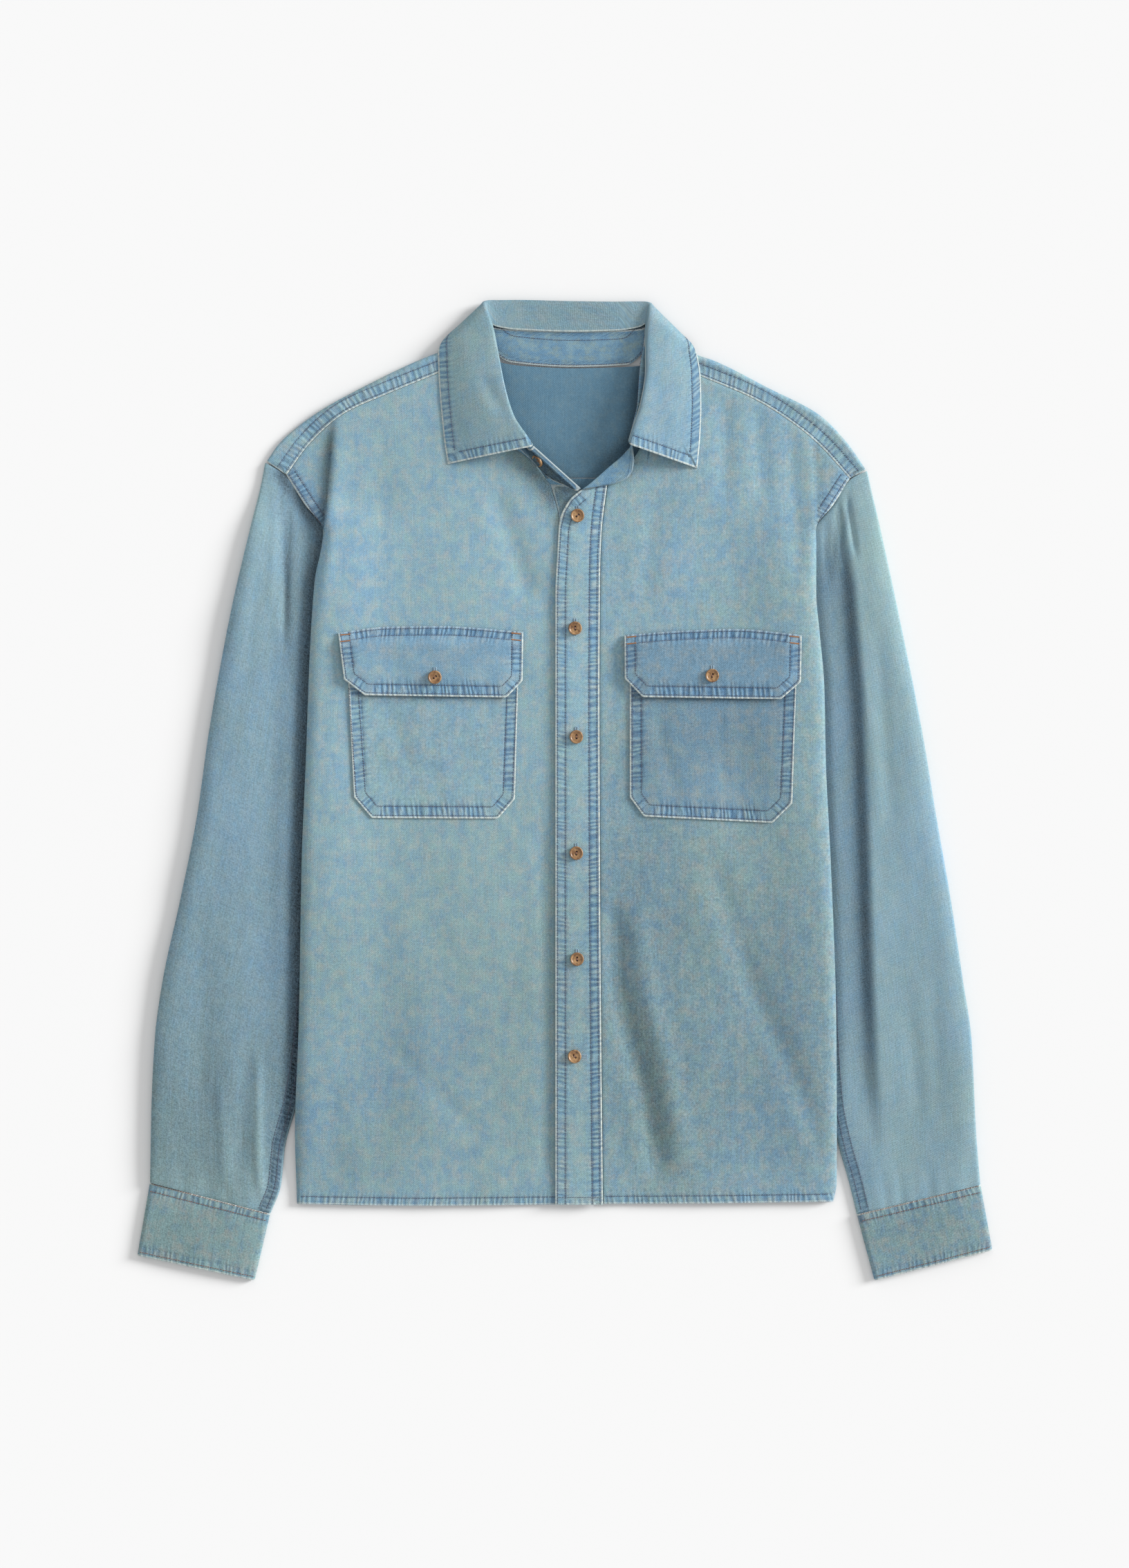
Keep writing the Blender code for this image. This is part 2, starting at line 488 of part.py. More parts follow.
def sleeve(side, colour):
    """Flattened sleeve from the armhole seam to the cuff seam."""
    rows = 19
    tip, seam = SHOULDER_TIP[side], ARMHOLE[side]
    outward = -1.0 if side == "right" else 1.0
    armhole = (tip,) + tuple((x, y) for x, y in seam[::-1][:-1]) + ((seam[0][0] - outward * 8.0, seam[0][1]),)
    outer_face, inner_face = [], []
    for row in range(rows + 1):
        way = row / rows
        start = path(SLEEVE_OUTER[side], [way])[0]
        end = path(SLEEVE_INNER[side], [way])[0]
        width = np.linalg.norm(end - start)
        ring, normal = flattened_ring(width, CLOTH, 1.05, lambda a: sleeve_crown(way, a), 7, 2, 15)
        bend = max(0.0, 1 - way / 0.22) ** 2
        for face, offset in ((outer_face, CLOTH / 2), (inner_face, -CLOTH / 2)):
            points = ring + normal * offset
            share = np.clip(points[:, 0] / width, 0, 1)
            straight = start + (end - start) * (points[:, 0] / width)[:, None]
            at_seam = path(armhole, share)
            top_line = path((armhole[0], armhole[-1]), share)
            place = straight + (at_seam - top_line) * bend
            place[:, 0] += outward * (SEAM + EDGE_GAP) * bend
            face.append(np.column_stack((place, points[:, 1])))
    return tube(f"sleeve_{side}", np.stack(outer_face), np.stack(inner_face), colour)


def cuff(side, colour):
    """Buttoned cuff, a flat double band."""
    outer_top, inner_top, outer_end, inner_end = (np.array(corner) for corner in CUFF[side])
    outer_face, inner_face = [], []
    for way in (0.0, 0.35, 0.7, 1.0):
        start, end = outer_top + (outer_end - outer_top) * way, inner_top + (inner_end - inner_top) * way
        width = np.linalg.norm(end - start)
        ring, normal = flattened_ring(
            width, DOUBLE, 1.3, lambda a: 1.6 * np.sin(np.pi * np.clip(a, 0, 1)) ** 0.5, 6, 2, 10)
        for face, offset in ((outer_face, DOUBLE / 2), (inner_face, -DOUBLE / 2)):
            points = ring + normal * offset
            place = start + (end - start) * (points[:, 0] / width)[:, None]
            face.append(np.column_stack((place, points[:, 1])))
    return tube(f"cuff_{side}", np.stack(outer_face), np.stack(inner_face), colour)


def button_band(colour):
    """Band on the right front's edge that carries the buttons, under the placket."""
    start = ((BAND_SEAM_X + SEAM, -346.8), (BAND_SEAM_X + SEAM, 225.0), (-10.9, 255.6))
    end = ((BAND_END_X, -346.8), (BAND_END_X, 200.0), (BAND_END_X, 240.0))
    grid = patch((start[0], end[0]), (start[-1], (-5.0, 259.4), (13.3, 250.0), end[-1]), start, end, 5, 24)
    height = front_underside(np.full(grid.shape[:2], BAND_SEAM_X), grid[..., 1], "right")
    return wall("button_band", with_height(grid, height), with_height(grid, height + CLOTH), colour)


def placket_underside(x, y):
    """Height of the placket's underside, clear of the button band."""
    return front_underside(np.full(np.shape(x), BAND_SEAM_X), y, "right") + CLOTH + LAYER_GAP


def placket(colour):
    """Buttonhole placket on the left front's edge, lapped over the button band."""
    free, sewn = PLACKET_EDGE["free"], PLACKET_EDGE["sewn"]
    grid = patch((free[0], sewn[0]), (free[-1], (25.5, 254.8), sewn[-1]), free, sewn, 5, 26)
    height = placket_underside(grid[..., 0], grid[..., 1])
    return wall("placket", with_height(grid, height), with_height(grid, height + DOUBLE), colour)


def collar_stand(colour):
    """Collar stand from the right front end, round the back neck, to the rolled left end."""
    ways = np.linspace(0, 1, 37)
    seam = path([row[1] for row in STAND_ROWS], ways)
    top_edge = match(seam, [row[1] for row in STAND_ROWS], [row[2] for row in STAND_ROWS], ways)
    shares = np.linspace(0, 1, 5)
    middle = np.stack([seam * (1 - share) + top_edge * share for share in shares], axis=1)
    normal = normals_of(middle)
    return wall("collar_stand", middle - normal * CLOTH / 2, middle + normal * CLOTH / 2, colour)


def match(guide, guide_rows, rows, ways):
    """Curve through rows, read in step with the rows of the guide curve, so that sections stay together."""
    steps = np.linalg.norm(np.diff(np.asarray(guide_rows, dtype=float), axis=0), axis=1)
    guide_along = np.concatenate(([0.0], np.cumsum(steps))) / steps.sum()
    rows = np.asarray(rows, dtype=float)
    row_steps = np.linalg.norm(np.diff(rows, axis=0), axis=1)
    along = np.concatenate(([0.0], np.cumsum(row_steps))) / row_steps.sum()
    return path(rows, np.interp(ways, guide_along, along))


def collar_leaf(colour):
    """Collar leaf: up from the stand, over its roll and down to its outer edge."""
    ways = np.linspace(0, 1, 45)
    seam_rows, roll_rows, edge_rows = ([row[i] for row in LEAF_ROWS] for i in (1, 2, 3))
    roll = path(roll_rows, ways)
    seam = match(roll, roll_rows, seam_rows, ways)
    edge = match(roll, roll_rows, edge_rows, ways)
    sections = []
    for s, r, e in zip(seam, roll, edge):
        over = r + (e - r) * 0.1 + np.array((0.0, 0.0, 0.9 if r[2] > 8 else -0.4))
        half = r + (e - r) * 0.55 + np.array((0.0, 0.0, 0.8 if r[2] > 8 else -1.2 * min(1.0, (r[2] - e[2]) / 3)))
        sections.append(path((s, r, over, half, e), (0.0, 0.12, 0.22, 0.32, 0.5, 0.7, 0.85, 1.0)))
    middle = np.stack(sections)
    normal = normals_of(middle)
    return wall("collar_leaf", middle - normal * DOUBLE / 2, middle + normal * DOUBLE / 2, colour)


def patch_outline(shape, columns, rows):
    """Grid of (x, y) inside a pocket or flap outline: straight sides, cut lower corners."""
    bottom = (shape["side_end"][0], shape["bottom"][0], shape["bottom"][1], shape["side_end"][1])
    g = np.linspace(0, 1, rows + 1)[None, :, None]
    f = np.linspace(0, 1, columns + 1)
    corner = 1.0 / columns
    ways = np.clip((f - corner) / (1 - 2 * corner), 0, 1)
    lower = np.array(bottom[1]) + (np.array(bottom[2]) - np.array(bottom[1])) * ways[:, None]
    lower[0], lower[-1] = bottom[0], bottom[3]
    upper = path(shape["top"], f) if len(shape["top"]) > 2 else (
        np.array(shape["top"][0]) + (np.array(shape["top"][1]) - np.array(shape["top"][0])) * f[:, None])
    return lower[:, None, :] * (1 - g) + upper[:, None, :] * g


def pocket(side, colour):
    """Chest pocket, one layer on the front."""
    grid = patch_outline(POCKET[side], 10, 9)
    height = front_underside(grid[..., 0], grid[..., 1], side) + CLOTH + LAYER_GAP
    return wall(f"pocket_{side}", with_height(grid, height), with_height(grid, height + CLOTH), colour)


def flap_underside(x, y, side):
    """Height of a flap's underside: on the front at its seam, then over the pocket."""
    over = 1 - smooth_step(y, 123.5, 133.0)
    return front_underside(x, y, side) + CLOTH + LAYER_GAP + over * (CLOTH + LAYER_GAP + 0.2)


def flap(side, colour):
    """Pocket flap, double, buttoned over the pocket."""
    grid = patch_outline(FLAP[side], 10, 6)
    height = flap_underside(grid[..., 0], grid[..., 1], side)
    return wall(f"flap_{side}", with_height(grid, height), with_height(grid, height + DOUBLE), colour)


def button(name, place, colour, facing=(0.0, 0.0, 1.0)):
    """Turned button with a rounded edge and a dished face, its back at place and its face towards facing."""
    profile = ((0.0, 0.0), (4.6, 0.0), (5.5, 0.6), (BUTTON_RADIUS, 1.3), (5.3, 2.2), (4.8, BUTTON_HEIGHT), (4.0, 1.9),
               (0.0, 1.7))
    around = 12
    angles = np.arange(around) * 2 * np.pi / around
    points = [(0.0, 0.0, profile[0][1])]
    for radius, height in profile[1:-1]:
        points += [(radius * np.cos(a), radius * np.sin(a), height) for a in angles]
    points.append((0.0, 0.0, profile[-1][1]))
    rings = len(profile) - 2
    faces = []
    for j in range(around):
        k = (j + 1) % around
        faces.append((0, 1 + k, 1 + j))
        for i in range(rings - 1):
            a, b = 1 + i * around, 1 + (i + 1) * around
            faces.append((a + j, a + k, b + k, b + j))
        last = 1 + (rings - 1) * around
        faces.append((last + j, last + k, len(points) - 1))
    out = np.array(facing) / np.linalg.norm(facing)
    across = np.cross((0.0, 1.0, 0.0), out)
    across /= np.linalg.norm(across)
    turn = np.stack((across, np.cross(out, across), out))
    return solid(name, np.array(points) @ turn + np.array(place), faces, colour)


def buttons(colour):
    """All the buttons that show: six on the placket, one on each flap and one on the end of the stand."""
    made = []
    for number, (x, y) in enumerate(PLACKET_BUTTONS, start=1):
        seat = float(placket_underside(np.array([x]), np.array([y]))[0]) + DOUBLE + SEAM
        made.append(button(f"button_front_{number}", (x, y, seat), colour))
    for side, (x, y) in FLAP_BUTTONS.items():
        seat = float(flap_underside(np.array([x]), np.array([y]), side)[0]) + DOUBLE + SEAM
        made.append(button(f"button_flap_{side}", (x, y, seat), colour))
    place, facing = stand_button_seat()
    made.append(button("button_collar", place, colour, facing))
    return made


def stand_button_seat():
    """Where the collar button's back sits on the right end of the stand, and which way it faces."""
    end_seam, end_top = (np.array(point) for point in STAND_ROWS[0][1:])
    next_seam, next_top = (np.array(point) for point in STAND_ROWS[1][1:])
    up = (end_top - end_seam) / np.linalg.norm(end_top - end_seam)
    along = (next_seam + next_top - end_seam - end_top) / 2
    along /= np.linalg.norm(along)
    facing = np.cross(up, along)
    facing = facing * np.sign(facing[2]) / np.linalg.norm(facing) + (0.0, 0.0, STAND_BUTTON_TIP)
    facing /= np.linalg.norm(facing)
    foot = end_seam + (end_top - end_seam) * STAND_BUTTON_UP + along * STAND_BUTTON_INSET
    return foot + facing * (CLOTH / 2 + STAND_BUTTON_SHANK), facing


def main():
    for old in list(bpy.data.objects):
        bpy.data.objects.remove(old, do_unlink=True)
    denim = finish("washed_denim", (0.26, 0.40, 0.45), 0.9)
    inside = finish("denim_wrong_side", (0.14, 0.24, 0.31), 0.92)
    horn = finish("horn_button", (0.36, 0.20, 0.09), 0.4)
    back_panel(denim)
    yoke(denim)
    button_band(denim)
    placket(denim)
    collar_stand(inside)
    collar_leaf(denim)
    for side in ("right", "left"):
        front_panel(side, denim)
        sleeve(side, denim)
        cuff(side, denim)
        pocket(side, denim)
        flap(side, denim)
    buttons(horn)


main()
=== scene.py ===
"""Washed denim shirt laid flat on its back: cloth, seams, stitches and buttons on the frame of its solids.

Lengths are millimetres until a mesh is made: x towards the wearer's left, y towards the collar, z up from
the floor. RIGHT and LEFT are the wearer's own sides. Each cut of cloth is one closed wall on a grid.
"""
import logging
import math
from collections.abc import Callable
from dataclasses import dataclass, field
from enum import Enum

import bpy
import numpy as np
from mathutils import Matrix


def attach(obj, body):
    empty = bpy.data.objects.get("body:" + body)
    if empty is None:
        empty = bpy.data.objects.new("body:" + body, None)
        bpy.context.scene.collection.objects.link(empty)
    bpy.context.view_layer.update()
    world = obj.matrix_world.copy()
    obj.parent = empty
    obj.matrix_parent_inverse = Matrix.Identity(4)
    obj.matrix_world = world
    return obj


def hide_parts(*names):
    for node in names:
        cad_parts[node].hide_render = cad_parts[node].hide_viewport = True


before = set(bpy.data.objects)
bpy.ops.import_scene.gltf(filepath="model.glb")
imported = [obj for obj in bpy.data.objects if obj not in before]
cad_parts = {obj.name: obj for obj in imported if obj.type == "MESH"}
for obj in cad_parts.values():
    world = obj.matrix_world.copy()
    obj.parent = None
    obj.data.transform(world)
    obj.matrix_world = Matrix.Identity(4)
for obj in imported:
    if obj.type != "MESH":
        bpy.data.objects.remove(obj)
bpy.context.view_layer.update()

log = logging.getLogger("denim_shirt")
Array = np.ndarray
Rows = tuple[tuple[float, ...], ...]
Height = Callable[[Array, Array], Array]
Material = bpy.types.Material
MM = 0.001
UP = np.array((0.0, 0.0, 1.0))


# ---------------------------------------------------------------- curves and fields

class Side(Enum):
    """The wearer's side, with the sign of its x."""

    RIGHT = -1
    LEFT = 1

    @property
    def word(self) -> str:
        """Name of the side in the nodes' names."""
        return self.name.lower()


def smooth_step(value: Array, start: float, end: float) -> Array:
    """Rise from 0 before start to 1 after end, as 3t^2 - 2t^3."""
    t = np.clip((value - start) / (end - start), 0.0, 1.0)
    return t * t * (3 - 2 * t)


def window(value: Array, start: float, full: float, fall: float, end: float) -> Array:
    """Smooth rise from 0 at start to 1 at full, and back from 1 at fall to 0 at end."""
    return smooth_step(value, start, full) * (1 - smooth_step(value, fall, end))


def run(points: Array, axis: int = 0) -> Array:
    """Length along one axis of a grid of points, from its first point to each of them."""
    steps = np.diff(points, axis=axis, prepend=np.take(points, [0], axis))
    return np.cumsum(np.linalg.norm(steps, axis=-1), axis=axis)


def line_length(line: Array) -> float:
    """Straight length of a line of points."""
    return float(np.linalg.norm(np.diff(np.asarray(line, dtype=float), axis=0), axis=1).sum())


def cubic(along: Array, ways: Array, points: Array, slopes: Array) -> Array:
    """Piecewise cubic through points with a given slope at each.

    Args:
        along: Place of each point on the curve, rising.
        ways: Places at which to read it.
        points: The points, along the second last axis.
        slopes: The slopes, of the same shape.

    Returns:
        One point for each way.
    """
    span = np.clip(np.searchsorted(along, ways, side="right") - 1, 0, len(along) - 2)
    width = (along[span + 1] - along[span])[..., None]
    t = (ways - along[span])[..., None] / width
    point, next_point = points[..., span, :], points[..., span + 1, :]
    slope, next_slope = slopes[..., span, :], slopes[..., span + 1, :]
    start = (2 * t**3 - 3 * t**2 + 1) * point + (t**3 - 2 * t**2 + t) * width * slope
    end = (3 * t**2 - 2 * t**3) * next_point + (t**3 - t**2) * width * next_slope
    return start + end


def path(rows: Rows | Array, ways: Array) -> Array:
    """Smooth curve through rows that doesn't overshoot a bend.

    Its slope at a row is the harmonic mean of the straight slopes on both sides, or 0 where these turn back.

    Args:
        rows: Points on the curve, in order.
        ways: Where to read it, from 0 to 1 of the straight length.

    Returns:
        One point for each way.
    """
    rows = np.asarray(rows, dtype=float)
    along = run(rows) / line_length(rows)
    straight = np.diff(rows, axis=0) / np.diff(along)[:, None]
    before, after = straight[:-1], straight[1:]
    same_way = before * after > 0
    mean = 2 * before * after / np.where(same_way, before + after, 1.0)
    slopes = np.concatenate((straight[:1], np.where(same_way, mean, 0.0), straight[-1:]))
    return cubic(along, np.clip(ways, 0.0, 1.0), rows, slopes)


def in_step(guide_rows: Rows, rows: Rows, ways: Array) -> Array:
    """Curve through rows, read in step with the rows of a guide curve, so that their sections stay together.

    Args:
        guide_rows: Rows of the curve that the ways belong to.
        rows: Rows of the curve to read, as many.
        ways: Shares of the guide's straight length.

    Returns:
        One point for each way.
    """
    guide_along, own_along = (run(line) / line_length(line) for line in (guide_rows, rows))
    return path(rows, np.interp(ways, guide_along, own_along))


def sampled(rows: Rows | Array, spacing: float) -> Array:
    """Points of the smooth curve through rows, about spacing apart."""
    count = max(2, int(round(line_length(rows) / spacing)) + 1)
    return path(rows, np.linspace(0.0, 1.0, count))


def offset_line(line: Array, distance: float) -> Array:
    """The line moved to its left by distance, its corners kept.

    At a bend the point moves along (n0 + n1) / (1 + n0.n1), with n0 and n1 the left normals on both sides.

    Args:
        line: Points (x, y) in order.
        distance: How far to move it, negative for its right.

    Returns:
        The moved points.
    """
    step = np.diff(line, axis=0)
    step /= np.linalg.norm(step, axis=1, keepdims=True)
    left = np.column_stack((-step[:, 1], step[:, 0]))
    before, after = np.concatenate((left[:1], left)), np.concatenate((left, left[-1:]))
    return line + distance * (before + after) / (1 + (before * after).sum(axis=1, keepdims=True))


def distance_to_line(x: Array, y: Array, line: Array) -> tuple[Array, Array]:
    """Distance from each (x, y) to a line, and how far along it the nearest point lies.

    Args:
        x: x of each point.
        y: y of each point.
        line: Points (x, y) in order.

    Returns:
        The distances, and the lengths along the line.
    """
    best, place, done = np.full(np.shape(x), 1e9), np.zeros(np.shape(x)), 0.0
    for start, step in zip(line[:-1], np.diff(line, axis=0)):
        length = np.linalg.norm(step)
        ahead = step / length
        along = np.clip((x - start[0]) * ahead[0] + (y - start[1]) * ahead[1], 0.0, length)
        gap = np.hypot(x - start[0] - along * ahead[0], y - start[1] - along * ahead[1])
        nearer = gap < best
        best = np.where(nearer, gap, best)
        place = np.where(nearer, done + along, place)
        done += length
    return best, place


@dataclass(frozen=True)
class Fold:
    """Soft ridge, or trough where its height is negative, along a line.

    Attributes:
        line: Points (x, y) that it follows.
        half_width: Distance at which it has fallen to about an eighth.
        height: Height at its middle.
        fade: Share of its length over which it fades at each end.
    """

    line: Rows
    half_width: float
    height: float
    fade: float = 0.2

    def at(self, x: Array, y: Array) -> Array:
        """Height at (x, y): the height times exp(-2 (distance / half width)^2), faded at both ends."""
        line = sampled(self.line, 12)
        gap, along = distance_to_line(x, y, line)
        ends = window(along / line_length(line), 0, self.fade, 1 - self.fade, 1)
        return self.height * np.exp(-2 * (gap / self.half_width) ** 2) * ends


def fold_height(x: Array, y: Array, folds: tuple[Fold, ...]) -> Array:
    """Sum of the folds' heights at (x, y)."""
    return sum((fold.at(x, y) for fold in folds), np.zeros(np.shape(x)))


def undulation(x: Array, y: Array, size: float, height: float, seed: int) -> Array:
    """Gentle unevenness of laid cloth: a sum of nine waves of about one size in seeded directions.

    Args:
        x: x of each point.
        y: y of each point.
        size: Middle length of the waves.
        height: About the largest height of their sum.
        seed: Seed of their directions and phases.

    Returns:
        The height at each point.
    """
    dice = np.random.default_rng(seed)
    total = np.zeros(np.shape(x))
    for _ in range(9):
        turn, phase = dice.uniform(0, 2 * np.pi, 2)
        length = size * dice.uniform(0.65, 1.5)
        total = total + np.sin((x * np.cos(turn) + y * np.sin(turn)) * 2 * np.pi / length + phase)
    return total * height / 4.5


def wash_tone(x: Array, y: Array, spots: Rows, mottle: float = 1.0) -> Array:
    """Lightness, blueness and mottling at (x, y), from patches of the wash and of painted shade.

    A spot is a soft patch, felt by exp of minus the squared distance in its half lengths. Its row holds the
    x and y of its middle, its two half lengths, the angle of the first in degrees from x, and its change of
    lightness and of blueness, which is towards green-grey where it is negative.

    Args:
        x: x of each point.
        y: y of each point.
        spots: The patches to add up.
        mottle: How blotchy the wash is, 1 on the body.

    Returns:
        An array with one more axis, of three values.
    """
    light, blue = np.zeros(np.shape(x)), np.zeros(np.shape(x))
    for middle_x, middle_y, first, second, turn, lighter, bluer in spots:
        dx, dy = x - middle_x, y - middle_y
        cos, sin = math.cos(math.radians(turn)), math.sin(math.radians(turn))
        share = np.exp(-(((dx * cos + dy * sin) / first) ** 2 + ((dy * cos - dx * sin) / second) ** 2))
        light, blue = light + lighter * share, blue + bluer * share
    return np.stack((light, blue, np.full(np.shape(x), mottle)), axis=-1)


@dataclass(frozen=True)
class SeamLine:
    """Finished edge or seam with its worn cord and the puckered band beside it.

    Attributes:
        line: Points (x, y) of the edge, in order.
        row: Distance from the edge to the last stitch row.
        cord: How worn and pale the edge itself is, from 0 to 1.
        rope: How strongly the band between edge and row is puckered, from 0 to 1.
    """

    line: Array
    row: float
    cord: float
    rope: float

    def parts(self) -> list[Array]:
        """The line cut at its sharp corners, those of more than 20 degrees."""
        step = np.diff(self.line, axis=0)
        heading = np.unwrap(np.arctan2(step[:, 1], step[:, 0]))
        corners = np.nonzero(np.abs(np.diff(heading)) > math.radians(20))[0] + 1
        ends = [0, *corners.tolist(), len(self.line) - 1]
        return [self.line[first:last + 1] for first, last in zip(ends[:-1], ends[1:])]


def seam_fields(x: Array, y: Array, seams: tuple[SeamLine, ...]) -> tuple[Array, Array]:
    """What the finish needs to know of the nearest seam, measured in band widths.

    The puckers fade where a second seam is as near, as at a corner.

    Args:
        x: x of each point.
        y: y of each point.
        seams: The seams of the piece.

    Returns:
        (distance, length along, row) and (cord, rope, 0), each with one more axis of three values.
    """
    shape = np.shape(x)
    nearest = second = np.full(shape, 1e9)
    fields = [np.zeros(shape)] * 5
    for seam in seams:
        for part in seam.parts():
            gap, along = distance_to_line(x, y, part)
            share = gap / seam.row
            nearer = share < nearest
            second = np.minimum(second, np.where(nearer, nearest, share))
            nearest = np.where(nearer, share, nearest)
            values = (gap, along, seam.row, seam.cord, seam.rope)
            fields = [np.where(nearer, value, old) for value, old in zip(values, fields)]
    fields[4] = fields[4] * smooth_step(second - nearest, 0.15, 0.5)
    return np.stack(fields[:3], axis=-1), np.stack((fields[3], fields[4], np.zeros(shape)), axis=-1)


def patch(bottom: Rows | Array, top: Rows, start: Rows, end: Rows, across: Array, along: Array) -> Array:
    """Grid of (x, y) that fills four border curves.

    A point is the blend of the two curves across it and of the two along it, less the blend of the corners.

    Args:
        bottom: Border from start to end at the low side.
        top: Border from start to end at the high side.
        start: Border from bottom to top at the first side.
        end: Border from bottom to top at the last side.
        across: Shares from start to end, one for each column.
        along: Shares from bottom to top, one for each row.

    Returns:
        Points of shape (columns, rows, 2).
    """
    b, t = path(bottom, across)[:, None, :], path(top, across)[:, None, :]
    s, e = path(start, along)[None, :, :], path(end, along)[None, :, :]
    f, g = across[:, None, None], along[None, :, None]
    corners = (1 - f) * (1 - g) * b[0, 0] + f * (1 - g) * b[-1, 0] + (1 - f) * g * t[0, 0] + f * g * t[-1, 0]
    return (1 - g) * b + g * t + (1 - f) * s + f * e - corners


def shares(length: float, spacing: float, edge: float = 0.8) -> Array:
    """Shares from 0 to 1 for a grid, evenly apart but for one narrow step at each end.

    Args:
        length: Length that the shares divide.
        spacing: Even step, in the same unit.
        edge: Width of the first and last step.

    Returns:
        The shares.
    """
    count = max(2, int(round((length - 2 * edge) / spacing)) + 1)
    inner = np.linspace(edge / length, 1 - edge / length, count)
    return np.concatenate(([0.0], inner, [1.0]))


def unit(vectors: Array) -> Array:
    """Vectors made one long along their last axis."""
    return vectors / np.maximum(np.linalg.norm(vectors, axis=-1, keepdims=True), 1e-9)


def line_at(values: Array, level: float, grids: tuple[Array, ...]) -> list[Array]:
    """Where rising values pass a level in each column, read from other grids.

    Args:
        values: Rising along the second axis, of shape (columns, rows).
        level: The value to find.
        grids: Arrays of shape (columns, rows, 3) to read there.

    Returns:
        One array of shape (columns, 3) for each grid.
    """
    below = np.clip((values <= level).sum(axis=1) - 1, 0, values.shape[1] - 2)
    columns = np.arange(values.shape[0])
    low, high = values[columns, below], values[columns, below + 1]
    share = np.clip((level - low) / np.maximum(high - low, 1e-9), 0, 1)[:, None]
    return [grid[columns, below] * (1 - share) + grid[columns, below + 1] * share for grid in grids]


# ---------------------------------------------------------------- cloth walls

def new_mesh(name: str, points: Array, faces: list[list[int]]) -> bpy.types.Object:
    """Smooth mesh object at the origin, linked to the scene.

    Args:
        name: Name of the object and its mesh.
        points: Points of shape (count, 3), in millimetres.
        faces: Corners of each face.

    Returns:
        The object.
    """
    mesh = bpy.data.meshes.new(name)
    mesh.from_pydata(np.asarray(points) * MM, [], faces)
    mesh.shade_smooth()
    piece = bpy.data.objects.new(name, mesh)
    bpy.context.scene.collection.objects.link(piece)
    return piece


def set_vectors(piece: bpy.types.Object, name: str, values: Array) -> None:
    """Gives each point of a piece a named vector for its finish to read."""
    attribute = piece.data.attributes.new(name, "FLOAT_VECTOR", "POINT")
    attribute.data.foreach_set("vector", values.astype(np.float32).ravel())


def settle(piece: bpy.types.Object, slot: str, *nodes: str) -> None:
    """Fixes a piece to the shirt's one body, and hides the solids that it stands for.

    Args:
        piece: The finished piece.
        slot: Not used.
        nodes: Names of the solids that it replaces.
    """
    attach(piece, "root")
    if nodes:
        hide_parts(*nodes)
    log.info("%s: %d faces", piece.name, len(piece.data.polygons))


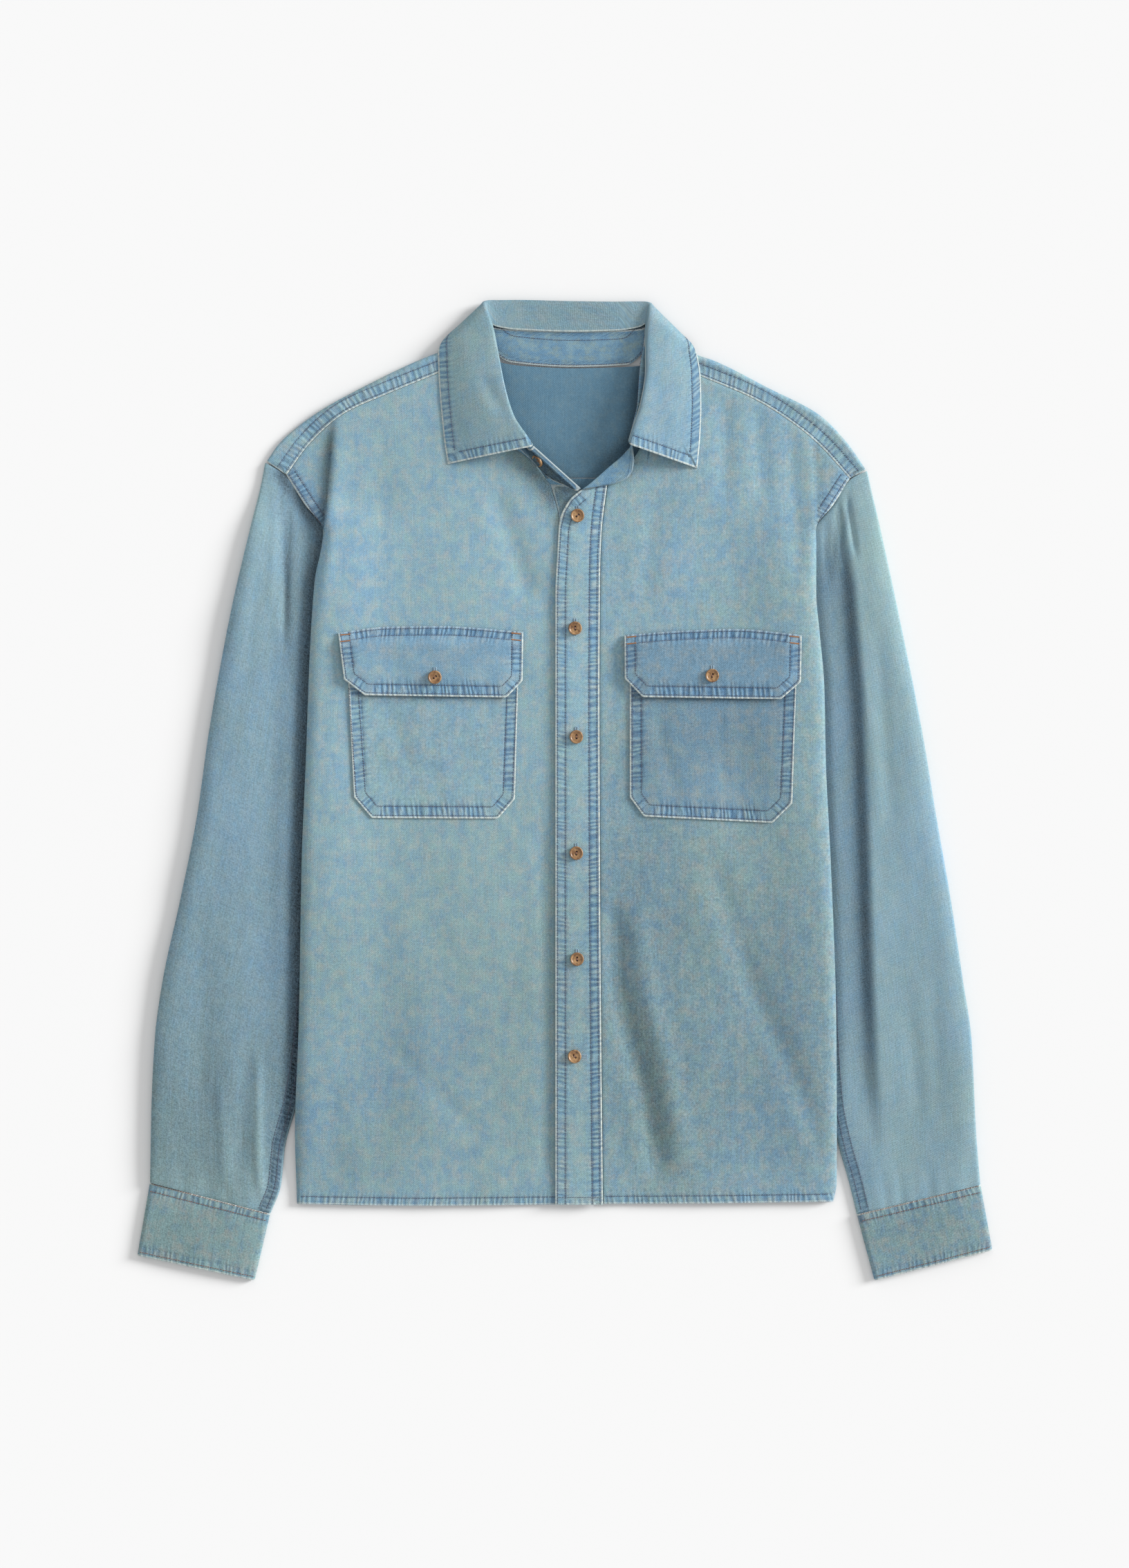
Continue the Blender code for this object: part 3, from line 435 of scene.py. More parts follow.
@dataclass
class Cloth:
    """One cut of cloth as a grid of points on its middle face, with what its finish needs at each of them.

    Attributes:
        name: Name of the piece and of the solid that it stands for.
        middle: Points of shape (columns, rows, 3).
        thickness: Thickness of the wall.
        weave: Places on the cut, of shape (columns, rows, 2), warp along the second.
        seam: Distance to the nearest seam, length along it and its row's distance.
        band: Cord and rope of that seam, and one spare value.
        tone: Lightness, blueness and mottling of the wash, with painted shade in the lightness on some
            pieces.
        present: Cells that have cloth, or None where all have.
        wraps: Whether the last column is joined to the first, as in a tube.
        normal: Unit normals, or None where the grid's own serve.
        outside_up: Whether the cloth's right side is on the side of its normals.
        rectangle: Whether its cut is a plain rectangle.
        area: Area of its cut in square millimetres, or None; not used.
        seed: Shifts the pattern of this piece.
    """

    name: str
    middle: Array
    thickness: float
    weave: Array
    seam: Array
    band: Array
    tone: Array
    present: Array | None = None
    wraps: bool = False
    normal: Array | None = None
    outside_up: bool = True
    rectangle: bool = False
    area: float | None = None
    seed: float = 0.0

    # Angle beyond which an edge is sharp.
    sharp_angle = math.radians(55)

    def __post_init__(self) -> None:
        """Works out the normals, where none are given, from the crossed directions of the grid."""
        if self.normal is None:
            across = np.gradient(self.middle, axis=0)
            if self.wraps:
                across = np.roll(self.middle, -1, axis=0) - np.roll(self.middle, 1, axis=0)
            normal = unit(np.cross(across, np.gradient(self.middle, axis=1)))
            underside = self.wraps and normal[2, 5, 2] > 0
            self.normal = -normal if underside or (not self.wraps and normal[..., 2].mean() < 0) else normal

    def upper(self) -> Array:
        """Points of the face on the side of the normals."""
        return self.middle + self.normal * self.thickness / 2

    def walls(self) -> tuple[Array, Array]:
        """Lower and upper points: the wall thins to a bit over half at its outer border, for a soft edge."""
        thick = np.full(self.middle.shape[:2], self.thickness / 2)
        thick[:, (0, -1)] *= 0.6
        if not self.wraps:
            thick[(0, -1), :] = self.thickness * 0.3
        offset = self.normal * thick[..., None]
        return self.middle - offset, self.middle + offset

    def faces(self) -> tuple[Array, int]:
        """Four-cornered faces of the closed wall.

        Each cell has an upper and a lower face. A cell side without a neighbour gets a face across the rim.

        Returns:
            Faces of shape (count, 4), first the upper and next the lower ones, and the number of cells.
        """
        count = self.middle.shape[0] * self.middle.shape[1]
        index = np.arange(count).reshape(self.middle.shape[:2])
        if self.wraps:
            index = np.concatenate((index, index[:1]))
        cells = np.stack((index[:-1, :-1], index[1:, :-1], index[1:, 1:], index[:-1, 1:]), axis=-1)
        keep = np.ones(cells.shape[:2], dtype=bool) if self.present is None else self.present
        around = np.pad(keep, 1)
        if self.wraps:
            around[0, 1:-1], around[-1, 1:-1] = keep[-1], keep[0]
        groups = [cells[keep] + count, cells[keep][:, ::-1]]
        wide, high = keep.shape
        for (di, dj), (p, q) in {(0, -1): (0, 1), (1, 0): (1, 2), (0, 1): (2, 3), (-1, 0): (3, 0)}.items():
            edge = cells[keep & ~around[1 + di:1 + di + wide, 1 + dj:1 + dj + high]]
            groups.append(np.column_stack((edge[:, p], edge[:, q], edge[:, q] + count, edge[:, p] + count)))
        return np.concatenate(groups), int(keep.sum())

    def build(self, finishes: tuple[Material, Material], size: tuple[float, float], *below: str,
              slot: str = "denim") -> None:
        """Args:
            finishes: Finish of the cloth's right side and rim, and finish of its wrong side.
            size: Width and length of the rectangle that it is cut from; not used.
            below: Names of what it lies on; not used.
            slot: Passed on to settle, which does not use it.
        """
        faces, cells = self.faces()
        used, corners = np.unique(faces, return_inverse=True)
        corners = corners.reshape(-1, 4)
        points = np.concatenate([wall.reshape(-1, 3) for wall in self.walls()])[used]
        a, b, c, d = (points[corners[:, corner]] for corner in range(4))
        volume = (a * np.cross(b, c)).sum() + (a * np.cross(c, d)).sum()
        piece = new_mesh(self.name, points, (corners if volume >= 0 else corners[:, ::-1]).tolist())
        for finish in finishes:
            piece.data.materials.append(finish)
        wrong_side = np.zeros(len(faces), dtype=np.int32)
        wrong_side[cells * self.outside_up:cells * (1 + self.outside_up)] = 1
        piece.data.polygons.foreach_set("material_index", wrong_side)
        seeded = np.concatenate((self.weave, np.full(self.weave.shape[:2] + (1,), self.seed)), axis=-1)
        fields = {"weave": seeded, "seam": self.seam, "band": self.band, "tone": self.tone}
        for name, values in fields.items():
            set_vectors(piece, name, np.tile(values.reshape(-1, 3), (2, 1))[used])
        piece.data.set_sharp_from_angle(angle=self.sharp_angle)
        settle(piece, slot, self.name)
        if not self.rectangle:
            sides = np.diff(self.middle, axis=0)[:, :-1], np.diff(self.middle, axis=1)[:-1]


# ---------------------------------------------------------------- the shirt's form

def x_at(rows: Rows, y: Array) -> Array:
    """x at which a line of rising y passes each y."""
    xs, ys = zip(*rows)
    return np.interp(y, ys, xs)


@dataclass(frozen=True)
class ShirtForm:
    """Outlines and heights that the pieces share. Each field is a size or a table of (x, y) rows.

    single and double are the thickness of one cloth and of a lined one. The gaps lie at a seam, at the body's
    edge and between two layers. The back is tucked up beside the sleeves by tuck_height, over tuck_flat and
    then down over tuck_slope. puff is the air in the body, which falls to the sides within edge_roll, and is
    less by a share at the placket, at the hem and under a pocket. dip lies beyond the shoulder's crease.
    """

    single: float = 1.1
    double: float = 1.7
    seam_gap: float = 0.3
    edge_gap: float = 0.8
    layer_gap: float = 0.5
    hem_y: float = -347.0
    back_seam_y: float = 262.0
    tuck_height: float = 4.3
    tuck_flat: float = 15.0
    tuck_slope: float = 62.0
    puff: float = 4.4
    edge_roll: float = 11.0
    held_by_placket: float = 0.45
    held_by_hem: float = 0.55
    held_by_pocket: float = 0.7
    band_seam_x: float = -5.0
    band_end_x: float = 27.0
    placket_middle_x: float = 11.0
    dip: dict[Side, float] = field(default_factory=lambda: {Side.RIGHT: -3.4, Side.LEFT: -1.8})
    side_edge: dict[Side, Rows] = field(default_factory=lambda: {
        Side.RIGHT: ((-224.5, -347), (-226, -288), (-222.7, -192), (-220.4, -60), (-216.9, 25),
            (-213.4, 118), (-209.4, 176), (-203.6, 204.7)),
        Side.LEFT: ((225, -345), (227.8, -330), (227.2, -192), (222.6, -60), (218.6, 20), (217.2, 87),
            (213, 135), (210.4, 165), (210.5, 204.7))})
    armhole: dict[Side, Rows] = field(default_factory=lambda: {
        Side.RIGHT: ((-203.6, 204.7), (-202.3, 216.3), (-218.7, 240.7), (-233.6, 264)),
        Side.LEFT: ((210.5, 204.7), (210, 217.5), (225, 239.5), (239, 261))})
    shoulder_tip: dict[Side, tuple[float, float]] = field(default_factory=lambda: {
        Side.RIGHT: (-250.6, 275.5),
        Side.LEFT: (252.9, 268.5)})
    yoke_seam: dict[Side, Rows] = field(default_factory=lambda: {
        Side.RIGHT: ((-78, 362), (-106.7, 349.2), (-149.1, 331.8), (-183.9, 316.1), (-212.9, 291.7),
            (-233.6, 264)),
        Side.LEFT: ((82, 360), (113.7, 346.8), (152.5, 330.6), (175.7, 317.8), (210.5, 291.7), (239, 261))})
    shoulder_fold: dict[Side, Rows] = field(default_factory=lambda: {
        Side.RIGHT: ((-76, 381), (-104.4, 368), (-123, 360.5), (-169.4, 338.1), (-210.5, 314.9),
            (-239, 291.7), (-250.6, 275.5)),
        Side.LEFT: ((80, 379), (108.5, 366), (124.7, 360.5), (169.4, 338.1), (213.4, 314.9), (236.6, 291.7),
            (252.9, 268.5))})
    front_neck: dict[Side, Rows] = field(default_factory=lambda: {
        Side.RIGHT: ((-12.2, 256), (-24.4, 272.5), (-47.6, 291), (-67.9, 308), (-76, 336), (-78, 362)),
        Side.LEFT: ((36, 256), (52, 270), (62, 285), (76, 306), (80.5, 336), (82, 360))})
    shoulder_crease: dict[Side, Rows] = field(default_factory=lambda: {
        Side.RIGHT: ((-203.6, 204.7), (-201.3, 216.3), (-196.6, 257), (-192, 314)),
        Side.LEFT: ((210.5, 204.7), (210.5, 218), (208.8, 267.4), (206, 300))})
    back_neck: Rows = ((-76, 381), (-54, 359), (-33, 355.8), (7.5, 354), (48, 355), (67.3, 357), (80, 379))
    front_edge: dict[Side, Rows] = field(default_factory=lambda: {
        Side.RIGHT: ((-5, -347.5), (-5, 225), (-12.2, 256)),
        Side.LEFT: ((32.2, -347), (29.9, -91), (29.3, 84), (29.9, 185), (31.2, 217), (36, 256))})
    placket_free: Rows = ((-8.1, -347.6), (-8.1, 120), (-8, 165), (-6.4, 198.4), (-4.6, 225), (4.1, 243.6),
        (13.3, 251.7))
    placket_sewn: Rows = ((31.9, -347.6), (29.6, -91), (29, 84), (29.6, 185), (30.9, 217), (35.7, 257.6))
    folds: tuple[Fold, ...] = (Fold(((-62, 257), (-44, 205), (-27, 152)), 15, -1.9),
        Fold(((-188, 306), (-192.5, 257), (-197.5, 212), (-202, 150)), 12, 1.3),
        Fold(((-155, 315), (-155, 200), (-160, 140)), 16, -0.5),
        Fold(((132, 338), (134, 290), (134, 235)), 11, -1.2),
        Fold(((161, 325), (164, 290), (166, 240)), 11, -1.2),
        Fold(((188, 309), (192, 257), (197, 165)), 11, -1.1), Fold(((77, 257), (66, 152)), 14, -1),
        Fold(((40, -85), (44, -165), (55, -212), (66, -252), (74, -298), (80, -335)), 13, -2.9, 0.12),
        Fold(((60, -85), (68, -165), (86, -236), (100, -325)), 14, 1.9),
        Fold(((118, -33), (152, -150), (193, -242), (222, -323)), 15, -1.7),
        Fold(((-150, -60), (-118, -210), (-130, -320)), 24, 0.7),
        Fold(((-16, 170), (-18, 0), (-17, -200), (-16, -330)), 9, -0.9, 0.05),
        Fold(((-155, -207), (-110, -250), (-68, -294)), 12, -0.9),
        Fold(((-190, -235), (-196, -290), (-192, -335)), 16, -0.8))

    def inset(self, x: Array, y: Array, side: Side) -> Array:
        """Distance inwards from the body's side edge, along x."""
        return -side.value * (x - x_at(self.side_edge[side] + self.armhole[side][1:], y))

    def outward(self, x: Array, y: Array, side: Side) -> Array:
        """Distance along x from the crease that runs up from the armhole, positive towards the sleeve."""
        return side.value * (x - x_at(self.shoulder_crease[side], y))

    def tuck(self, x: Array, y: Array, side: Side) -> Array:
        """Height of the back's underside at one side: flat on the sleeve below, then down to the floor."""
        across = 1 - smooth_step(self.inset(x, y, side), self.tuck_flat, self.tuck_flat + self.tuck_slope)
        return self.tuck_height * across * window(y, -340, -280, 222, 262)

    def back_underside(self, x: Array, y: Array) -> Array:
        """Height of the back's underside, from both of its sides."""
        return np.where(x < 0, self.tuck(x, y, Side.RIGHT), self.tuck(x, y, Side.LEFT))

    def air(self, x: Array, y: Array, side: Side) -> Array:
        """Air between back and front.

        A quarter-circle rise from the side edge, times a fullness that is less at the placket and at the hem.
        The folds, flatter under a pocket, some unevenness and a dip beyond the shoulder's crease are added.

        Args:
            x: x of each point.
            y: y of each point.
            side: Which front.

        Returns:
            The height of the air.
        """
        roll = quarter_round(self.inset(x, y, side), self.edge_roll)
        at_placket = 1 - smooth_step(np.abs(x - self.placket_middle_x), 20, 110)
        at_hem = 1 - smooth_step(y, self.hem_y, self.hem_y + 90)
        full = self.puff * (1 - self.held_by_placket * at_placket) * (1 - self.held_by_hem * at_hem)
        folds = fold_height(x, y, self.folds) * (1 - self.held_by_pocket * window(y, -45, -20, 135, 160))
        uneven = undulation(x, y * 0.6, 62, 0.32, 11) + undulation(x, y * 0.7, 26, 0.09, 12)
        ripple = 0.35 * (1 - smooth_step(y, self.hem_y, self.hem_y + 60)) * undulation(x, y * 0.2, 30, 1, 13)
        dip = smooth_step(self.outward(x, y, side), -0.8, 2.6) * window(y, 203, 212, 290, 318)
        return np.clip(self.edge_gap + roll * (full + folds + uneven + ripple + self.dip[side] * dip),
                       self.edge_gap, None)

    def front_underside(self, x: Array, y: Array, side: Side) -> Array:
        """Height of a front's underside: the back, one cloth and the air."""
        return self.back_underside(x, y) + self.single + self.air(x, y, side)

    def front_top(self, x: Array, y: Array, side: Side) -> Array:
        """Height of a front's upper face."""
        return self.front_underside(x, y, side) + self.single

    def band_underside(self, y: Array) -> Array:
        """Height of the button band's underside: that of the right front at their seam, all across."""
        return self.front_underside(np.full(np.shape(y), self.band_seam_x), y, Side.RIGHT)

    def placket_underside(self, x: Array, y: Array) -> Array:
        """Height of the placket's underside: over the button band, with cross wrinkles towards the hem."""
        wrinkle = 0.16 * undulation(x * 0.35, y, 17, 1, 21) * (0.3 + window(y, -300, -270, -230, -190))
        bow = 0.35 * np.cos(np.clip((x - self.placket_middle_x) / 20, -1, 1) * np.pi / 2)
        return self.band_underside(y) + self.single + self.layer_gap + np.clip(wrinkle + bow + 0.1, 0, None)

    def placket_top(self, x: Array, y: Array) -> Array:
        """Height of the placket's upper face."""
        return self.placket_underside(x, y) + self.double


@dataclass(frozen=True)
class Wash:
    """Patches of the wash as rows for wash_tone, for the body, its wrong side and the sleeves; some rows are
    painted shade, as marked below.
    """

    # On the body the last five rows are painted shade: along the belly fold beside the placket, at the neck
    # under the collar stand's end, and beyond both shoulder creases.
    body: Rows = ((-110, -190, 260, 170, 0, -0.18, -0.12), (130, -150, 140, 210, 0, -0.17, 0),
        (-120, 20, 90, 130, 0, 0.02, -0.05), (-70, 190, 60, 60, 10, 0.05, 0.12),
        (-180, 160, 40, 90, 0, 0.03, 0.2), (-140, -230, 90, 26, 28, -0.02, 0.35),
        (-190, -300, 60, 60, 0, -0.1, 0), (-60, -130, 40, 90, 0, 0.02, -0.2),
        (120, 200, 80, 90, 0, 0.03, 0.1), (60, -60, 40, 120, -6, -0.05, 0.3), (150, -60, 70, 90, 0, 0, -0.2),
        (120, -280, 90, 60, 0, -0.05, 0.1), (200, -200, 40, 130, 0, -0.06, 0.15),
        (69, -235, 17, 95, 10.8, -0.2, -0.3), (-1, 250, 13, 13, 0, -0.5, 0.3),
        (-23, 262, 11, 34, 31, -0.45, 0), (-213, 242, 9, 30, 34, -0.12, 0.6),
        (219, 240, 9, 30, -34, -0.08, 0.5))
    # Both rows of the wrong side are painted shadow, cast by the collar on the wearer's left onto the inside
    # back.
    inner: Rows = ((62, 325, 9, 44, -8, -0.6, 0.1), (43, 281, 32, 9, 43, -0.5, 0.1))
    # On the sleeves the narrow dark rows, (-234, 190) on the right and (219, 196), (227, 205) and (235, 222)
    # on the left, are painted shade in the troughs below the armholes; the narrow row (-257, -285) lightens
    # the ridge fold low on the right sleeve.
    sleeve: dict[Side, Rows] = field(default_factory=lambda: {
        Side.RIGHT: ((-270, 80, 120, 170, 0, -0.12, 0.25), (-300, -170, 120, 170, 0, -0.25, 0.05),
            (-300, -320, 80, 60, 0, -0.15, -0.2), (-262, 235, 26, 50, 0, 0.12, -0.35),
            (-312, -262, 60, 55, 0, -0.13, 0.1), (-257, -285, 4.5, 55, 0, 0.12, -0.3),
            (-234, 190, 3.4, 66, 3, -0.35, 0.2)),
        Side.LEFT: ((270, 190, 30, 90, 8, 0.03, -0.4), (310, -60, 60, 120, 8, -0.02, 0.15),
            (310, -260, 80, 120, 0, -0.13, -0.05), (219, 196, 2.2, 26, 0, -0.24, 0.1),
            (227, 205, 2.4, 30, -5, -0.26, 0.1), (235, 222, 2.4, 26, -9, -0.24, 0.1))})


@dataclass
class Part:
    """Part of the shirt, cut to the shared form, and to the wash with its painted shade."""

    form: ShirtForm = ShirtForm()
    wash: Wash = Wash()


def quarter_round(distance: Array, reach: float) -> Array:
    """Rise in a quarter circle from 0 at an edge to 1 at a distance of reach."""
    return np.sqrt(np.clip(1 - (1 - np.clip(distance / reach, 0, 1)) ** 2, 0, 1))


def flat_cloth(name: str, grid: Array, height: Array, thickness: float, seams: tuple[SeamLine, ...],
               spots: Rows, mottle: float = 1.0, **more: object) -> Cloth:
    """A cut whose warp runs along y.

    Args:
        name: Name of the piece.
        grid: Its places (x, y).
        height: Height of its middle face at each.
        thickness: Thickness of its wall.
        seams: Its seams.
        spots: Patches of its wash, and of painted shade where it has some.
        mottle: How blotchy its wash is.
        more: Other fields of the cloth.

    Returns:
        The cut of cloth.
    """
    x, y = grid[..., 0], grid[..., 1]
    tone = wash_tone(x, y, spots, mottle)
    return Cloth(name, np.dstack((grid, height)), thickness, grid, *seam_fields(x, y, seams), tone, **more)


@dataclass
class Dress:
    """The finishes that the pieces are built with, as right side and wrong side where a piece has both."""

    denim: tuple[Material, Material]
    stand: tuple[Material, Material]
    leaf: tuple[Material, Material]
    thread_dark: Material
    thread_rust: Material
    thread_orange: Material
    thread_pale: Material
    horn: Material


@dataclass
class StitchRow:
    """A row of sewing on a surface.

    Attributes:
        points: Points on the surface that it follows, of shape (count, 3).
        normals: The surface's unit normals there.
        pitch: Length from one stitch to the next.
        length: Length of one stitch.
        width: Width of the thread.
        lift: Height of the thread's middle above the surface.
        slant: How far each stitch turns off the row, as a tangent.
    """

    points: Array
    normals: Array
    pitch: float = 2.1
    length: float = 1.85
    width: float = 0.56
    lift: float = 0.1
    slant: float = 0.22


def surface_row(line: Array, top: Height, **sizes: float) -> StitchRow:
    """Stitch row along a flat line, laid on a height function.

    Args:
        line: Points (x, y) in order.
        top: Gives the surface's height at (x, y).
        sizes: Sizes of the row's stitches.

    Returns:
        The row.
    """
    lengths, step = run(line), 0.5
    count = max(3, int(lengths[-1] / 1.2))
    x, y = (np.interp(np.linspace(0.0, lengths[-1], count), lengths, line[:, axis]) for axis in (0, 1))
    slope_x = (top(x + step, y) - top(x - step, y)) / (2 * step)
    slope_y = (top(x, y + step) - top(x, y - step)) / (2 * step)
    normals = unit(np.column_stack((-slope_x, -slope_y, np.ones(count))))
    return StitchRow(np.column_stack((x, y, top(x, y))), normals, **sizes)


@dataclass
class BodyPanels(Part):
    """Back and both fronts.

    Attributes:
        spacing: Grid step of the fronts.
        back_spacing: Grid step of the back.
        hem_row: Distance of the hem's stitch row from the edge.
        armhole_rows: Distances of the armhole's rows from the seam.
        shade: Strength of the painted shade in each front's dip beyond the shoulder crease.
    """

    spacing: float = 2.5
    back_spacing: float = 4.0
    hem_row: float = 6.4
    armhole_rows: tuple[float, float] = (2.3, 8.2)
    shade: dict[Side, float] = field(default_factory=lambda: {Side.RIGHT: 0.62, Side.LEFT: 0.28})

    def hem_line(self, side: Side) -> Array:
        """The front's lower edge, from the front edge to the side."""
        middle = {Side.RIGHT: (-120, -348.5), Side.LEFT: (120, -346.5)}[side]
        return sampled((self.form.front_edge[side][0], middle, self.form.side_edge[side][0]), 10)

    def armhole_line(self, side: Side) -> Array:
        """The armhole seam from its lowest visible point to the shoulder, with a straight bit added below."""
        line = sampled(self.form.armhole[side][1:], 5)
        return np.concatenate(((line[0] + unit(line[0] - line[1]) * 14)[None], line))

    def front(self, side: Side) -> Cloth:
        """One front: a patch between hem, front edge, neck with yoke seam, and side, lifted by the form.

        Args:
            side: Which front.

        Returns:
            The cut of cloth.
        """
        form = self.form
        top = form.front_neck[side] + form.yoke_seam[side][1:]
        outer = form.side_edge[side] + form.armhole[side][1:]
        grid = patch(self.hem_line(side), top, form.front_edge[side], outer,
                     shares(235, self.spacing), shares(610, self.spacing))
        x, y = grid[..., 0], grid[..., 1]
        seams = (SeamLine(self.hem_line(side), self.hem_row, 0.5, 0.6),
                 SeamLine(self.armhole_line(side), self.armhole_rows[1], 0.8, 0.7))
        cloth = flat_cloth(f"front_{side.word}", grid, form.front_underside(x, y, side) + form.single / 2,
                           form.single, seams, self.wash.body, seed=1 + side.value)
        beyond = form.outward(x, y, side)
        cloth.band *= np.where(y > 150, smooth_step(beyond, -1, 3), 1)[..., None]
        # Painted shade: each front is darkened in its dip beyond the shoulder crease, more on the wearer's
        # right, where the dip faces away from the light.
        shade = smooth_step(beyond, -0.8, 1.4) * np.exp(-((np.clip(beyond, 0, None) / 8) ** 2))
        cloth.tone[..., 0] -= self.shade[side] * shade * window(y, 203, 212, 286, 318)
        return cloth

    def back(self) -> Cloth:
        """The back: a patch between hem, both sides and the yoke seam, its right side down.

        Returns:
            The cut of cloth.
        """
        form = self.form
        right, left = form.side_edge[Side.RIGHT], form.side_edge[Side.LEFT]
        seam_y = form.back_seam_y - form.seam_gap
        bottom = (right[0], (-170, form.hem_y - 1.5), (3, form.hem_y - 0.5), left[0])
        top = ((-232.2, seam_y), (237.6, seam_y))
        start = right + form.armhole[Side.RIGHT][1:-1] + top[:1]
        end = left + form.armhole[Side.LEFT][1:-1] + top[1:]
        grid = patch(bottom, top, start, end, shares(450, self.back_spacing), shares(610, self.back_spacing))
        seams = (SeamLine(sampled(bottom, 10), self.hem_row, 0.4, 0.7), SeamLine(np.array(top), 3, 0, 0.3),
                 *(SeamLine(sampled(form.armhole[side], 5), self.armhole_rows[1], 0.5, 0.6) for side in Side))
        height = form.back_underside(grid[..., 0], grid[..., 1]) + form.single / 2
        # Its wrong side shows inside the neck and carries the painted collar shadow of the inner rows.
        return flat_cloth("back", grid, height, form.single, seams, self.wash.inner, outside_up=False, seed=5)

    def rows(self) -> list[StitchRow]:
        """Hem and armhole rows of both fronts.

        Returns:
            The rows.
        """
        made = []
        for side in Side:
            def top(x: Array, y: Array, side: Side = side) -> Array:
                """Height of this side's front."""
                return self.form.front_top(x, y, side)
            hem = offset_line(self.hem_line(side), side.value * self.hem_row)
            made.append(surface_row(sampled(hem, 1)[2:-2], top))
            for distance in self.armhole_rows:
                line = sampled(offset_line(self.armhole_line(side), side.value * distance), 2)
                made.append(surface_row(line[self.form.outward(*line.T, side) > 0.8], top))
        return made

    def build(self, dress: Dress) -> list[StitchRow]:
        """Builds the three panels.

        Args:
            dress: The finishes.

        Returns:
            The stitch rows on them.
        """
        self.back().build(dress.denim, (460, 612), "floor")
        for side in Side:
            self.front(side).build(dress.denim, (232, 706), "back")
        return self.rows()


